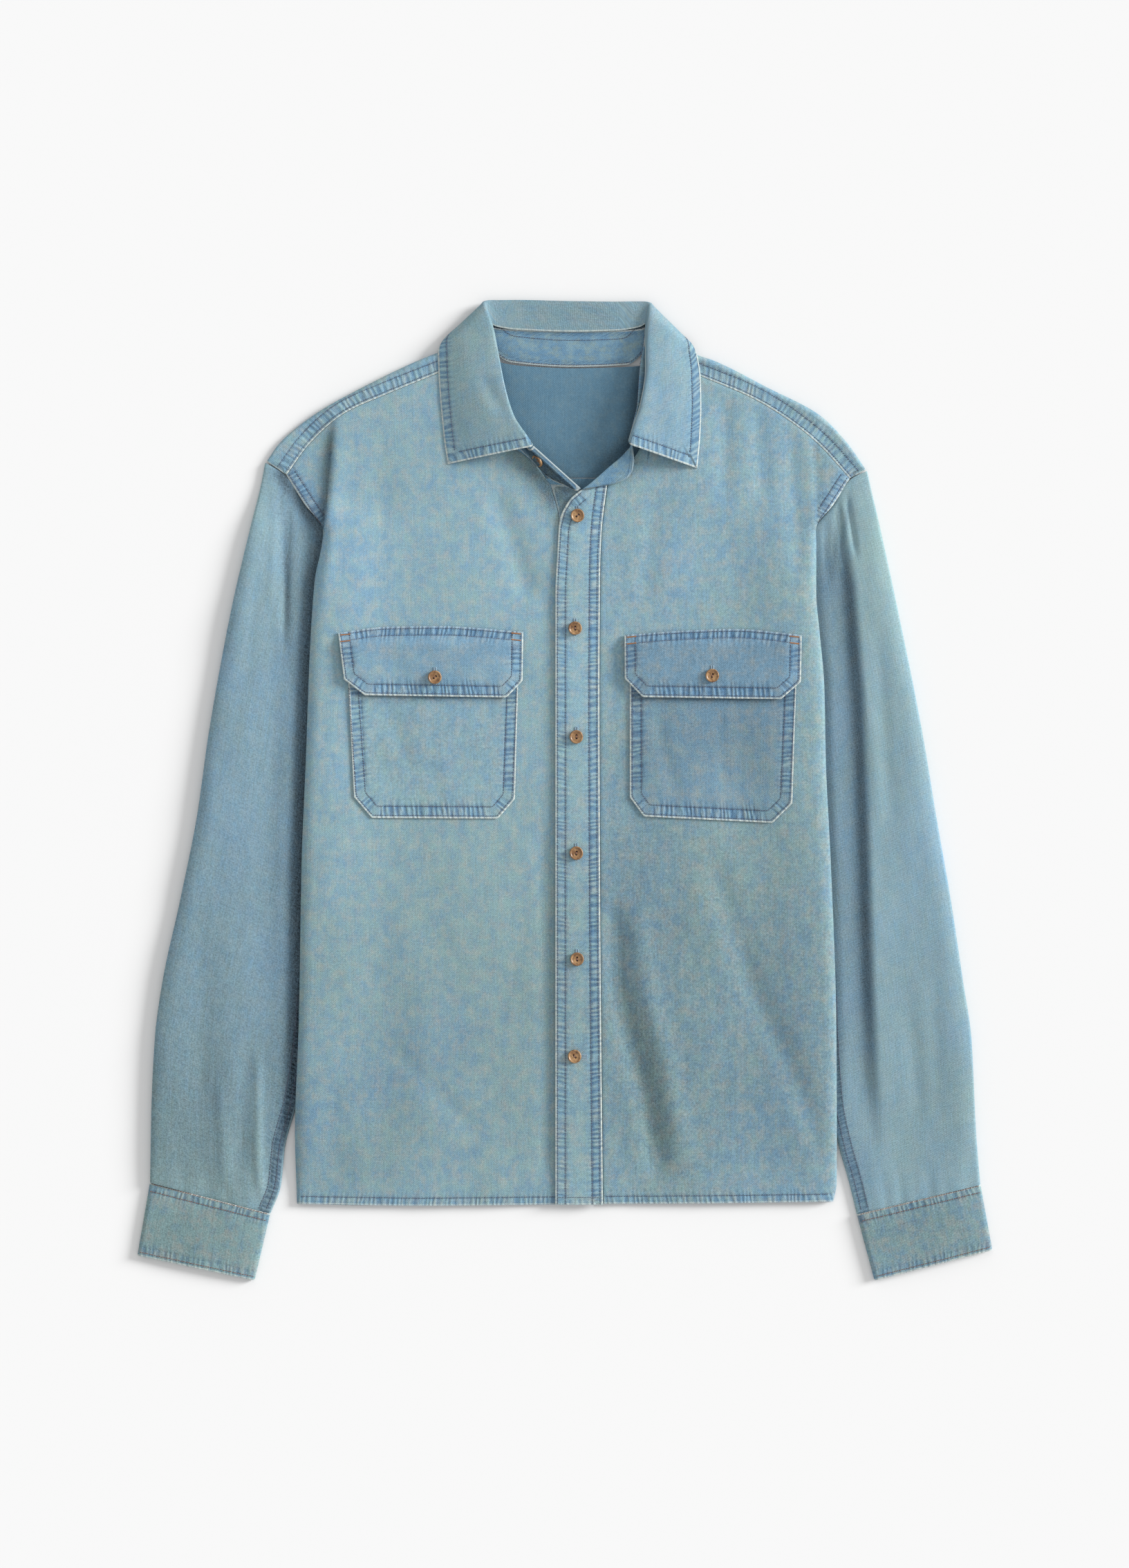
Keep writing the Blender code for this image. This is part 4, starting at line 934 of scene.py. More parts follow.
@dataclass
class Yoke(Part):
    """Yoke, flat under the upper back and folded over both shoulders to the front seams.

    Attributes:
        spacing: Grid step along the shoulders.
        rows_at: Distances of the stitch rows from the front seam.
        area: Area of its cut in square millimetres, an estimate, about 6% over the model's own.
    """

    spacing: float = 2.6
    rows_at: tuple[float, float] = (2.6, 10.4)
    area: float = 52000.0

    def columns(self) -> tuple[Array, Array, Array]:
        """Fold edge and front seam for each column, from the right shoulder over the neck to the left.

        Returns:
            Points of the fold, points of the seam, and whether each column lies at the neck.
        """
        form = self.form
        ways = shares(200, self.spacing, 1.2)
        neck = path(form.back_neck, np.linspace(0, 1, 44))[1:-1]
        fold, seam = (np.concatenate((path(line[Side.RIGHT][::-1], ways), neck, path(line[Side.LEFT], ways)))
                      for line in (form.shoulder_fold, form.yoke_seam))
        for end, inward in ((0, 1), (-1, -1)):
            fold[end] += (inward * 0.5, 0.4)
            seam[end] += (inward * 0.4, 0.4)
        column = np.arange(len(fold))
        return fold, seam, (column >= len(ways)) & (column < len(ways) + len(neck))

    def seam_height(self, seam: Array) -> Array:
        """Height of the fronts' underside at each point of the seam."""
        right, left = (self.form.front_underside(*seam.T, side) for side in Side)
        return np.where(seam[:, 0] < 0, right, left)

    def cloth(self) -> Cloth:
        """The yoke's grid: back rows on the floor, a half circle round the fold, and top rows to the seam.

        Each column runs from the back seam to the fold, turns up through half a circle whose radius is half
        the height of the fronts at the seam, and comes forward to the seam. At the neck it ends at the edge.

        Returns:
            The cut of cloth.
        """
        form = self.form
        fold, seam, at_neck = self.columns()
        count, half = len(fold), form.single / 2
        inward = unit(seam - fold)
        height = self.seam_height(seam)
        radius = (height / 2)[:, None]
        base = np.column_stack((0.55 * np.linspace(-232.5, 238, count) + 0.45 * fold[:, 0],
                                np.full(count, form.back_seam_y + form.seam_gap)))
        base[(0, -1), 0] = -231, 236
        way = shares(100, 4)[None]
        limit = fold + inward * (radius + half) * ~at_neck[:, None]
        raised = 2.2 * smooth_step(way, 0.55, 1) * window(fold[:, :1], -74, -52, 56, 78)
        share = way[..., None]
        back = np.dstack((base[:, None] * (1 - share) + limit[:, None] * share, half + raised))
        angle = np.linspace(-np.pi / 2, np.pi / 2, 11)[None, 1:-1]
        centre = fold + inward * (radius + half)
        turn = np.dstack((centre[:, None] - inward[:, None] * (radius * np.cos(angle))[..., None],
                          half + radius * (1 + np.sin(angle))))
        way = shares(20, 2)[None]
        sag = 0.35 * np.sin(np.pi * way) * (height[:, None] > 3)
        end = seam - inward * form.seam_gap
        share = way[..., None]
        front = np.dstack((centre[:, None] * (1 - share) + end[:, None] * share,
                           height[:, None] + half - sag))
        middle = np.concatenate((back, turn, front), axis=1)
        round_fold = np.dstack((-inward[:, None] * np.cos(angle)[..., None],
                                np.broadcast_to(np.sin(angle), turn.shape[:2])))
        normal = np.concatenate((0 * back - UP, round_fold, 0 * front + UP), axis=1)
        present = np.ones((count - 1, middle.shape[1] - 1), dtype=bool)
        present[at_neck[:-1] | at_neck[1:], back.shape[1]:] = False
        x, y = middle[..., 0], middle[..., 1]
        along = run(middle, 1)
        from_seam, row = along[:, -1:] - along, self.rows_at[1]
        armholes = tuple(SeamLine(sampled(form.armhole[side] + (form.shoulder_tip[side],), 5), 1.5, 0.8, 0)
                         for side in Side)
        seam_field, band = seam_fields(x, y, armholes)
        on_row = ((from_seam / row < seam_field[..., 0] / seam_field[..., 2]) & ~at_neck[:, None])[..., None]
        own = np.dstack((from_seam, np.broadcast_to(run(seam)[:, None], x.shape), np.full(x.shape, row)))
        # The inner rows add painted collar shadow on the wrong side inside the neck.
        tone = wash_tone(x, y, self.wash.body + self.wash.inner)
        return Cloth("yoke", middle, form.single, middle[..., :2], np.where(on_row, own, seam_field),
                     np.where(on_row, (0.85, 0.6, 0), band), tone, present=present, normal=normal,
                     area=self.area, seed=9)

    def rows(self) -> list[StitchRow]:
        """Two rows above the front seam on each shoulder.

        Returns:
            The rows.
        """
        made = []
        fold, seam, at_neck = self.columns()
        height = self.seam_height(seam) + self.form.single - 0.2
        for side in Side:
            chosen = ~at_neck & (np.sign(seam[:, 0]) == side.value)
            for distance in self.rows_at:
                points = np.column_stack((seam - unit(seam - fold) * distance, height))[chosen][1:-1]
                made.append(StitchRow(points, np.tile(UP, (len(points), 1))))
        return made

    def build(self, dress: Dress) -> list[StitchRow]:
        """Builds the yoke and gives the stitch rows on it."""
        self.cloth().build(dress.denim, (503, 143), "floor", "front_right", "front_left")
        return self.rows()


@dataclass
class Closure(Part):
    """Button band and the buttonhole placket that laps over it.

    Attributes:
        spacing: Grid step.
        rows_at: Distances of the stitch rows from each edge.
        hem_row: Distance of the hem's row from the lower end.
        low_y: Lower end of the band.
        wash_spot: Patch of the wash over the whole placket.
    """

    spacing: float = 1.6
    rows_at: tuple[float, float] = (2.2, 8.7)
    hem_row: float = 6.2
    low_y: float = -346.8
    wash_spot: tuple[float, ...] = (12, -50, 40, 600, 0, 0.11, -0.05)

    def edges(self) -> tuple[Array, Array]:
        """Free and sewn edge of the placket, from the hem to the top."""
        return sampled(self.form.placket_free, 12), sampled(self.form.placket_sewn, 12)

    def band(self) -> Cloth:
        """The band under the placket, as high as the right front at their seam.

        Returns:
            The cut of cloth.
        """
        form = self.form
        first_x, last_x = form.band_seam_x + form.seam_gap, form.band_end_x
        start = ((first_x, self.low_y), (first_x, 225), (-11.9, 256.6))
        end = ((last_x, self.low_y), (last_x, 200), (last_x, 240))
        top = (start[-1], (3, 255.5), end[-1])
        grid = patch((start[0], end[0]), top, start, end, shares(32, 2.5), shares(600, 2.5))
        height = form.band_underside(grid[..., 1]) + form.single / 2
        seams = (SeamLine(sampled(start, 12), 2.2, 0.3, 0), SeamLine(sampled(top, 4), 3, 0.3, 0))
        return flat_cloth("button_band", grid, height, form.single, seams, self.wash.body,
                          rectangle=True, seed=3)

    def placket(self) -> Cloth:
        """The placket between its free and its sewn edge.

        Returns:
            The cut of cloth.
        """
        form, inner_row = self.form, self.rows_at[1]
        free, sewn = form.placket_free, form.placket_sewn
        top = (free[-1], (25.5, 254.4), sewn[-1])
        grid = patch((free[0], sewn[0]), top, free, sewn, shares(38, self.spacing), shares(600, self.spacing))
        height = form.placket_underside(grid[..., 0], grid[..., 1]) + form.double / 2
        first, last = self.edges()
        seams = (SeamLine(first, inner_row, 0.95, 0.6), SeamLine(last, inner_row, 0.95, 0.9),
                 SeamLine(np.array((free[0], sewn[0])), 4, 0.6, 0.5), SeamLine(np.array(top), 1, 0.9, 0))
        return flat_cloth("placket", grid, height, form.double, seams, self.wash.body + (self.wash_spot,),
                          rectangle=True, seed=4)

    def build(self, dress: Dress) -> list[StitchRow]:
        """Builds both pieces.

        Args:
            dress: The finishes.

        Returns:
            The stitch rows beside each edge of the placket, and its hem's row.
        """
        self.band().build(dress.denim, (32, 603), "front_right")
        self.placket().build(dress.denim, (40, 603), "button_band")
        first, last = self.edges()
        lines = [offset_line(line, distance) for line, way in ((first, -1), (last, 1))
                 for distance in np.multiply(way, self.rows_at)]
        lines.append(np.stack((first[0] + (1, self.hem_row), last[0] + (-1, self.hem_row))))
        return [surface_row(line, self.form.placket_top) for line in lines]


@dataclass(frozen=True)
class PatchShape:
    """Outline of a pocket or flap: its top edge, the lower ends of its sides, and its cut bottom edge."""

    top: Rows
    side_end: Rows
    bottom: Rows

    def grid(self, spacing: float) -> Array:
        """Grid of (x, y): straight columns from the lower outline up to the top edge.

        Args:
            spacing: Grid step.

        Returns:
            Points of shape (columns, rows, 2).
        """
        across = shares(line_length(self.top), spacing)
        along = shares(abs(self.top[0][1] - self.bottom[0][1]), spacing)[None, :, None]
        outline = self.sides()[1:-1]
        x = outline[0, 0] + (outline[-1, 0] - outline[0, 0]) * across
        lower = np.column_stack((x, np.interp(x, *outline.T)))[:, None]
        return lower * (1 - along) + path(self.top, across)[:, None] * along

    def sides(self) -> Array:
        """Outline down one side, along the cut bottom and up the other side."""
        return np.array((self.top[0], self.side_end[0]) + self.bottom + (self.side_end[1], self.top[-1]))


@dataclass
class Pockets(Part):
    """Chest pockets with their buttoned flaps.

    Attributes:
        spacing: Grid step.
        pocket_rows: Distances of the pocket's stitch rows from its edge.
        flap_rows: Distances of the flap's rows from its sides and bottom.
        flap_top_rows: Distances of the flap's rows from its top edge.
        flap_bow: How far the flap stands off the pocket in its middle.
        covered_y: Height on the body above which the flap hides the pocket's rows.
        tack: Step from one end of a bartack to the other.
        tack_sizes: Sizes of the bartacks' stitches.
    """

    spacing: float = 1.7
    pocket_rows: tuple[float, float] = (2.2, 9.9)
    flap_rows: tuple[float, float] = (2.2, 9.3)
    flap_top_rows: tuple[float, float] = (1.9, 7.5)
    flap_bow: float = 1.5
    covered_y: float = 86.0
    tack: tuple[float, float] = (8.6, 0.9)
    tack_sizes: dict[str, float] = field(default_factory=lambda: {
        "pitch": 0.62, "length": 0.62, "width": 1.2, "lift": 0.2})
    pocket: dict[Side, PatchShape] = field(default_factory=lambda: {
        Side.RIGHT: PatchShape(((-182.9, 122), (-38.2, 122)), ((-176.6, -5.8), (-41.8, -7.3)),
            ((-161.8, -23.2), (-56, -23.8))),
        Side.LEFT: PatchShape(((54.3, 122), (194.8, 122)), ((54.4, -6), (190.4, -11)),
            ((66.1, -22), (174, -27.4)))})
    flap: dict[Side, PatchShape] = field(default_factory=lambda: {
        Side.RIGHT: PatchShape(((-189.7, 131.7), (-149.6, 136.9), (-105.6, 137.5), (-34.8, 132.8)),
            ((-184.8, 92.6), (-35.4, 91.6)), ((-167.6, 79.5), (-48.7, 77.7))),
        Side.LEFT: PatchShape(((49.9, 129.9), (99.2, 133.7), (143.3, 135.1), (198.1, 129.9)),
            ((50.1, 93.5), (197.4, 90.5)), ((65, 78), (181, 76.2)))})
    pocket_folds: tuple[Fold, ...] = (Fold(((76, 68), (84, 30), (95, -8)), 8, -0.6),
        Fold(((129, 68), (135, -4)), 8, -0.5), Fold(((-149, 72), (-138, 40), (-125, 8)), 9, -0.55),
        Fold(((-114, 25), (-102, -14)), 9, -0.5))
    # The last two rows are painted shadow: thin dark bands on each pocket just below its flap's lower edge.
    pocket_wash: Rows = ((125, 40, 110, 120, 0, -0.27, 0.3), (-112, 40, 110, 120, 0, -0.12, 0),
        (125, 75, 60, 30, 0, 0.02, 0.35), (125, 0, 60, 25, 0, 0.05, 0), (-112, 60, 60, 40, 0, 0.06, 0.05),
        (-112, 0, 60, 25, 0, 0.05, -0.1), (123, 78, 95, 5, 0, -0.35, 0.2), (-108, 79, 95, 5, 0, -0.35, 0.2))
    flap_wash: Rows = ((125, 110, 90, 60, 0, -0.16, 0.95), (-112, 112, 90, 60, 0, -0.08, 0.45),
        (180, 128, 26, 13, 0, -0.08, 0.8), (64, 128, 26, 13, 0, -0.08, 0.8),
        (-172, 130, 26, 13, 0, -0.08, 0.8), (-50, 128, 26, 13, 0, -0.08, 0.8))

    def pocket_top(self, x: Array, y: Array, side: Side) -> Array:
        """Height of a pocket's upper face: the front, a gap, and slack held in by its sewn edges.

        Args:
            x: x of each point.
            y: y of each point.
            side: Which pocket.

        Returns:
            The height.
        """
        edge, _ = distance_to_line(x, y, self.pocket[side].sides())
        slack = 0.55 + fold_height(x, y, self.pocket_folds) + undulation(x, y, 34, 0.18, 31)
        slack = np.clip(smooth_step(edge, 2, 20) * slack, 0, None)
        return self.form.front_top(x, y, side) + self.form.layer_gap + self.form.single + slack

    def flap_top(self, x: Array, y: Array, side: Side) -> Array:
        """Height of a flap's upper face: on the front at its seam, over the pocket below, and bowed.

        Args:
            x: x of each point.
            y: y of each point.
            side: Which flap.

        Returns:
            The height.
        """
        form = self.form
        over = 1 - smooth_step(y, 121, 131)
        edge, _ = distance_to_line(x, y, self.flap[side].sides())
        step = over * (form.single + form.layer_gap + 0.9 + self.flap_bow * smooth_step(edge, 0, 16))
        quilted = 0.25 * undulation(x, y, 30, 1, 33 + side.value) * smooth_step(edge, 3, 14)
        return form.front_top(x, y, side) + form.layer_gap + step + form.double + np.clip(quilted, -0.3, 0.6)

    def cloths(self, side: Side) -> tuple[Cloth, Cloth]:
        """A chest pocket on its front, and its flap.

        Args:
            side: Which of both.

        Returns:
            The two cuts of cloth.
        """
        pocket, flap, form = self.pocket[side], self.flap[side], self.form
        seams = (SeamLine(pocket.sides(), self.pocket_rows[1], 0.95, 0.85),)
        flap_seams = (SeamLine(flap.sides(), self.flap_rows[1], 0.95, 0.95),
                      SeamLine(sampled(flap.top, 8), self.flap_top_rows[1], 0.3, 0.9))
        grid, flap_grid = pocket.grid(self.spacing), flap.grid(self.spacing)
        height = self.pocket_top(*grid.T, side).T - form.single / 2
        flap_height = self.flap_top(*flap_grid.T, side).T - form.double / 2
        return (flat_cloth(f"pocket_{side.word}", grid, height, form.single, seams, self.pocket_wash, 0.9,
                           seed=6 + side.value),
                flat_cloth(f"flap_{side.word}", flap_grid, flap_height, form.double, flap_seams,
                           self.flap_wash, 0.8, seed=8 + side.value))

    def rows(self, side: Side) -> tuple[list[StitchRow], list[StitchRow]]:
        """Stitch rows and bartacks of one pocket with its flap.

        Args:
            side: Which pocket.

        Returns:
            The dark rows, and the orange bartacks at the flap's upper corners.
        """
        def pocket_top(x: Array, y: Array) -> Array:
            """Height of this side's pocket."""
            return self.pocket_top(x, y, side)

        def flap_top(x: Array, y: Array) -> Array:
            """Height of this side's flap."""
            return self.flap_top(x, y, side)

        flap, visible = self.flap[side], self.pocket[side].sides()
        visible[(0, -1), 1] = self.covered_y
        made = [surface_row(offset_line(visible, distance), pocket_top) for distance in self.pocket_rows]
        made += [surface_row(offset_line(flap.sides(), distance), flap_top) for distance in self.flap_rows]
        for distance in self.flap_top_rows:
            line = offset_line(sampled(flap.top, 8), -distance)
            line[(0, -1), 0] += 1, -1
            made.append(surface_row(line, flap_top))
        tacks = []
        for corner, inward in ((flap.top[0], 1), (flap.top[-1], -1)):
            for below in self.flap_top_rows:
                start = np.add(corner, (inward * 1.6, -below))
                line = np.stack((start, start + (inward * self.tack[0], self.tack[1])))
                tacks.append(surface_row(line, flap_top, **self.tack_sizes))
        return made, tacks

    def build(self, dress: Dress) -> tuple[list[StitchRow], list[StitchRow]]:
        """Builds both pockets and flaps.

        Args:
            dress: The finishes.

        Returns:
            The dark stitch rows and the orange bartacks.
        """
        rows, tacks = [], []
        for side in Side:
            pocket, flap = self.cloths(side)
            pocket.build(dress.denim, (145, 150), f"front_{side.word}")
            flap.build(dress.denim, (155, 60), pocket.name, f"front_{side.word}")
            more_rows, more_tacks = self.rows(side)
            rows += more_rows
            tacks += more_tacks
        return rows, tacks


@dataclass
class Sleeves(Part):
    """Both sleeves as flattened tubes, with their buttoned cuffs.

    Attributes:
        spacing: Grid step along the sleeve.
        length: Length of a sleeve.
        cuff_length: Length of a cuff.
        top_points: Points across the top of a sleeve and of a cuff.
        fold_points: Points round one fold.
        fullness: Height of the top above the folds, by way down the sleeve.
        outer_radius: Radius of the outer fold.
        inner_radius: Radius of the inner fold, which lies under the body.
        cuff_radius: Radius of the cuff's folds.
        cuff_rows: Distances of the cuff's rows from its upper edge.
        cuff_bands: Widths of the puckered bands at its upper and its lower edge.
        fell_row: Width of the felled seam beside the inner edge.
        fell_top: Height on the body below which that seam shows.
        step_line: Line beside the left sleeve's trough, from its top down.
    """

    spacing: float = 2.6
    length: float = 660.0
    cuff_length: float = 61.0
    top_points: tuple[int, int] = (52, 60)
    fold_points: int = 7
    fullness: Rows = ((0, 1), (0.07, 3), (0.2, 4.6), (0.45, 4.8), (0.75, 4.2), (0.92, 3), (1, 1.8))
    outer_radius: float = 2.1
    inner_radius: float = 1.05
    cuff_radius: float = 1.3
    cuff_rows: tuple[float, ...] = (1.2, 7.3, 57.0)
    cuff_bands: tuple[float, float] = (7.3, 8.0)
    fell_row: float = 9.5
    fell_top: float = -150.0
    step_line: Rows = ((228, 250), (239, 170), (246, 83), (250.5, -33), (254, -150), (258, -240), (262, -310))
    outer: dict[Side, Rows] = field(default_factory=lambda: {
        Side.RIGHT: ((-251.2, 275), (-254.6, 256.9), (-263.3, 222.1), (-279.6, 152.5), (-298.7, 48.1),
            (-308.6, -21.5), (-322.5, -91.1), (-337.6, -160.7), (-343.9, -207.1), (-346.8, -265.1),
            (-348, -329.1)),
        Side.LEFT: ((253.4, 268), (255.8, 256.9), (263.9, 222.1), (279, 152.5), (299.9, 48.1),
            (311.5, -21.5), (323.6, -91.1), (334.1, -160.7), (341, -207.1), (345.1, -288.3),
            (348.6, -330.9))})
    inner: dict[Side, Rows] = field(default_factory=lambda: {
        Side.RIGHT: ((-196, 205), (-203, 100), (-210.5, -60), (-215.5, -200), (-225, -262), (-234.9, -299.9),
            (-238.4, -331.8), (-247.1, -355.2)),
        Side.LEFT: ((202.5, 205), (207, 100), (215.5, -60), (218.5, -200), (222.5, -262), (229.5, -297),
            (239, -331), (245, -355.8))})
    cuff: dict[Side, Rows] = field(default_factory=lambda: {
        Side.RIGHT: ((-348.2, -329.2), (-247.3, -355.3), (-358.75, -390.3), (-260.4, -411.2)),
        Side.LEFT: ((348.8, -331), (245, -355.9), (358.75, -385.7), (259.8, -411.2))})
    cuff_wash: dict[Side, Rows] = field(default_factory=lambda: {
        Side.RIGHT: ((-305, -370, 90, 60, 0, -0.32, -0.5),),
        Side.LEFT: ((305, -370, 90, 60, 0, -0.32, -0.2),)})
    folds: dict[Side, tuple[Fold, ...]] = field(default_factory=lambda: {
        Side.RIGHT: (Fold(((-232.5, 258), (-233, 225), (-234, 180), (-237, 110)), 4.5, -3.2, 0.25),
            Fold(((-241, 262), (-243, 220), (-247, 140)), 6, 1.1, 0.3),
            Fold(((-225, 235), (-225, 200), (-227, 150)), 5, 1, 0.3),
            Fold(((-256, 200), (-262, 130), (-270, 60)), 9, -0.7, 0.3),
            Fold(((-238, 120), (-246, -20), (-252, -150)), 12, -0.8, 0.3),
            Fold(((-300, -120), (-306, -220), (-300, -300)), 16, -0.9, 0.3),
            Fold(((-266, -200), (-270, -270), (-274, -335)), 9, -1.3, 0.3),
            Fold(((-257, -210), (-257, -300), (-254, -350)), 5, 1.8, 0.2),
            Fold(((-290, -235), (-287, -290), (-283, -345)), 7, 1, 0.25)),
        Side.LEFT: (Fold(((228, 246), (231, 215), (235, 180)), 3.6, -3.4, 0.25),
            Fold(((219, 236), (219.5, 205), (222, 165)), 3.6, -3, 0.3),
            Fold(((236, 252), (240, 225), (245, 190)), 3.6, -1.8, 0.3),
            Fold(((256, 160), (268, 60), (276, -60)), 8, -0.6, 0.3),
            Fold(((250, 100), (258, 40), (264, -40)), 7, 0.6, 0.3),
            Fold(((285, -150), (293, -230), (300, -290)), 10, -0.8, 0.3),
            Fold(((306, -150), (312, -220), (314, -290)), 10, -0.6, 0.3))})

    def ring(self, start: Array, end: Array, thickness: float, outer: Array, inner: float,
             points: int) -> tuple[Array, Array, Array, Array]:
        """Section of a flattened tube for each row: flat bottom, round outer fold, top, round inner fold.

        Args:
            start: Outer end (x, y) of each row.
            end: Its inner end.
            thickness: Thickness of the tube's cloth.
            outer: Radius of the outer fold at each row.
            inner: Radius of the inner fold.
            points: Points across the top.

        Returns:
            Width of each row; then distance from the outer end, places (x, y) and height, with a first axis
            round the tube.
        """
        width = np.linalg.norm(end - start, axis=1)
        half = thickness / 2
        left, right = half + outer, width - half - inner
        down = np.linspace(1, 0, points // 3)[:, None]
        angle = np.linspace(-np.pi / 2, np.pi / 2, self.fold_points + 2)[1:-1, None]
        over = np.linspace(0, 1, points)[:, None]
        on_top = left + (right - left) * over
        radius = outer + (inner - outer) * smooth_step(on_top, 0, 60) * np.minimum(1, width / 80)
        radius = radius + (inner - radius) * smooth_step(over, 0.9, 1)
        across = np.concatenate((left + (right - left) * down, left - outer * np.cos(angle), on_top,
                                 right + inner * np.cos(angle)))
        height = np.concatenate((np.full((len(down), len(width)), half), half + outer * (1 + np.sin(angle)),
                                 half + 2 * radius, half + inner * (1 - np.sin(angle)) + 0 * width))
        return width, across, start[None] + (end - start)[None] * (across / width)[..., None], height

    def rise(self, side: Side, x: Array, y: Array, to_inner: Array) -> Array:
        """Share of its fullness that a sleeve's top has risen beside the body's edge.

        The right sleeve rises gently from the edge. The left one stays low up to its step line. Below the hem
        both rise from their inner fold.

        Args:
            side: Which sleeve.
            x: x of each point.
            y: y of each point.
            to_inner: Distance from the inner fold.

        Returns:
            The share, from 0 to 1.
        """
        beside = -self.form.inset(x, y, side)
        rise = 0.4 * smooth_step(beside, 2, 20) + 0.6 * smooth_step(beside, 8, 66)
        if side is Side.LEFT:
            past = self.past_step(x, y)
            low = 0.05 + 0.3 * smooth_step(-past, 2, 24) + 0.3 * smooth_step(y, 140, 235)
            low = low * smooth_step(beside, -1, 8)
            rise = low + (1 - low) * smooth_step(past, -1, 12)
        below_hem = 1 - smooth_step(y, -340, -230)
        return rise * (1 - below_hem) + below_hem * smooth_step(to_inner, 0, 26)

    def past_step(self, x: Array, y: Array) -> Array:
        """Distance outwards from a line 5 inside the step line."""
        return x - x_at(self.step_line[::-1], y) + 5

    def painted_shade_and_seam(self, side: Side, x: Array, y: Array, to_inner: Array) -> Array:
        """Painted shade on a sleeve's top, on the right sleeve beside the body's edge and on the left one in
        the trough at its step, with the darker tone of the felled seam added.

        Args:
            side: Which sleeve.
            x: x of each point.
            y: y of each point.
            to_inner: Distance from the inner fold.

        Returns:
            How much darker it is made, from 0 to about 2.
        """
        beside = -self.form.inset(x, y, side)
        painted_shade_and_seam = 1.7 * (1 - smooth_step(beside, 0, 15)) + 0.5 * (1 - smooth_step(beside, 6, 44))
        if side is Side.LEFT:
            past = self.past_step(x, y)
            valley = 2.1 * np.exp(-(((past - 5) / np.where(past < 5, 6, 4)) ** 2))
            valley = (valley + 0.75 * (1 - smooth_step(past, -5, 5))) * smooth_step(y, -300, -140)
            painted_shade_and_seam = valley * (1 - smooth_step(y, 170, 225)) + 0.15 * (past < 0)
        painted_shade_and_seam = painted_shade_and_seam * smooth_step(y, -352, -300)
        sewn = window(to_inner, 1, 2.2, self.fell_row, self.fell_row + 1.5) * (y < self.fell_top)
        return np.minimum(painted_shade_and_seam, 1.9) + (0.9 - 0.45 * np.clip(painted_shade_and_seam, 0, 2)) * sewn

    def sleeve(self, side: Side) -> Cloth:
        """One sleeve from the armhole to the cuff.

        Each row is a flattened ring between the outer and the inner fold line. Near the armhole the rows bend
        to its curve. The top rises in a quarter circle from the outer fold to its fullness, and falls to the
        body's edge, under which it is tucked. Folds and a gentle unevenness are added to it.

        Args:
            side: Which sleeve.

        Returns:
            The tube of cloth.
        """
        form, sign, points = self.form, side.value, self.top_points[0]
        way = shares(self.length, self.spacing)
        start, end = path(self.outer[side], way), path(self.inner[side], way)
        radius = self.inner_radius + (self.outer_radius - self.inner_radius) * smooth_step(way, 0.01, 0.1)
        width, across, place, height = self.ring(start, end, form.single, radius, self.inner_radius, points)
        share, seam = np.clip(across / width, 0, 1), form.armhole[side]
        armhole = (form.shoulder_tip[side],) + seam[:0:-1] + ((seam[0][0] - sign * 8, seam[0][1]),)
        bend = np.clip(1 - way / 0.22, 0, 1)[None, :, None] ** 2
        place = place + (path(armhole, share) - path((armhole[0], armhole[-1]), share)) * bend
        place[..., 0] += sign * (0.3 - 2.5 * smooth_step(share, 0.5, 0.8)) * bend[..., 0]
        x, y = place[..., 0], place[..., 1]
        first_top = points // 3 + self.fold_points
        lifted = np.zeros((len(across), 1))
        turn = np.linspace(-np.pi / 2, np.pi / 2, self.fold_points + 2)[1:-1, None]
        lifted[first_top - self.fold_points:first_top] = (1 + np.sin(turn)) / 2
        lifted[first_top:first_top + points] = 1
        on_top, to_inner = lifted == 1, width - across
        round_edge = quarter_round(np.maximum(across, across[first_top]), 15)
        uneven = undulation(x, y * 0.45, 46, 0.5, 41 + sign) + undulation(x, y * 0.5, 20, 0.14, 43)
        ripple = 0.5 * smooth_step(way, 0.93, 1) * undulation(x, y * 0.15, 13, 1, 45)
        rise = self.rise(side, x, y, to_inner) * round_edge
        crown = np.interp(way, *zip(*self.fullness)) * rise
        extra = (fold_height(x, y, self.folds[side]) + uneven + ripple) * rise * smooth_step(way, 0, 0.02)
        height = height + np.clip(crown + extra, 0.1 * crown, None) * lifted
        armhole_seam = SeamLine(sampled(seam + (form.shoulder_tip[side],), 6), 1.5, 0, 0)
        seam_field, band = seam_fields(x, y, (armhole_seam,))
        felled = ((to_inner < 18) & on_top & (y < self.fell_top))[..., None]
        own = np.dstack((to_inner, way * self.length + 0 * x, np.full(x.shape, self.fell_row)))
        tone = wash_tone(x, y, self.wash.sleeve[side], 0.3)
        # Painted shade, with the felled seam's tone: the top is darkened and turned bluer by this amount.
        painted_shade_and_seam = 0.3 * self.painted_shade_and_seam(side, x, y, to_inner) * on_top
        tone[..., 0] -= painted_shade_and_seam
        tone[..., 1] += painted_shade_and_seam
        around = np.where(lifted > 0, across, 2 * width - across)
        weave = np.dstack((around, run((start + end) / 2) + 0 * x))
        return Cloth(f"sleeve_{side.word}", np.dstack((place, height)), form.single, weave,
                     np.where(felled, own, seam_field), np.where(felled, (0.25, 0.45, 0), band), tone,
                     wraps=True, seed=12 + sign)

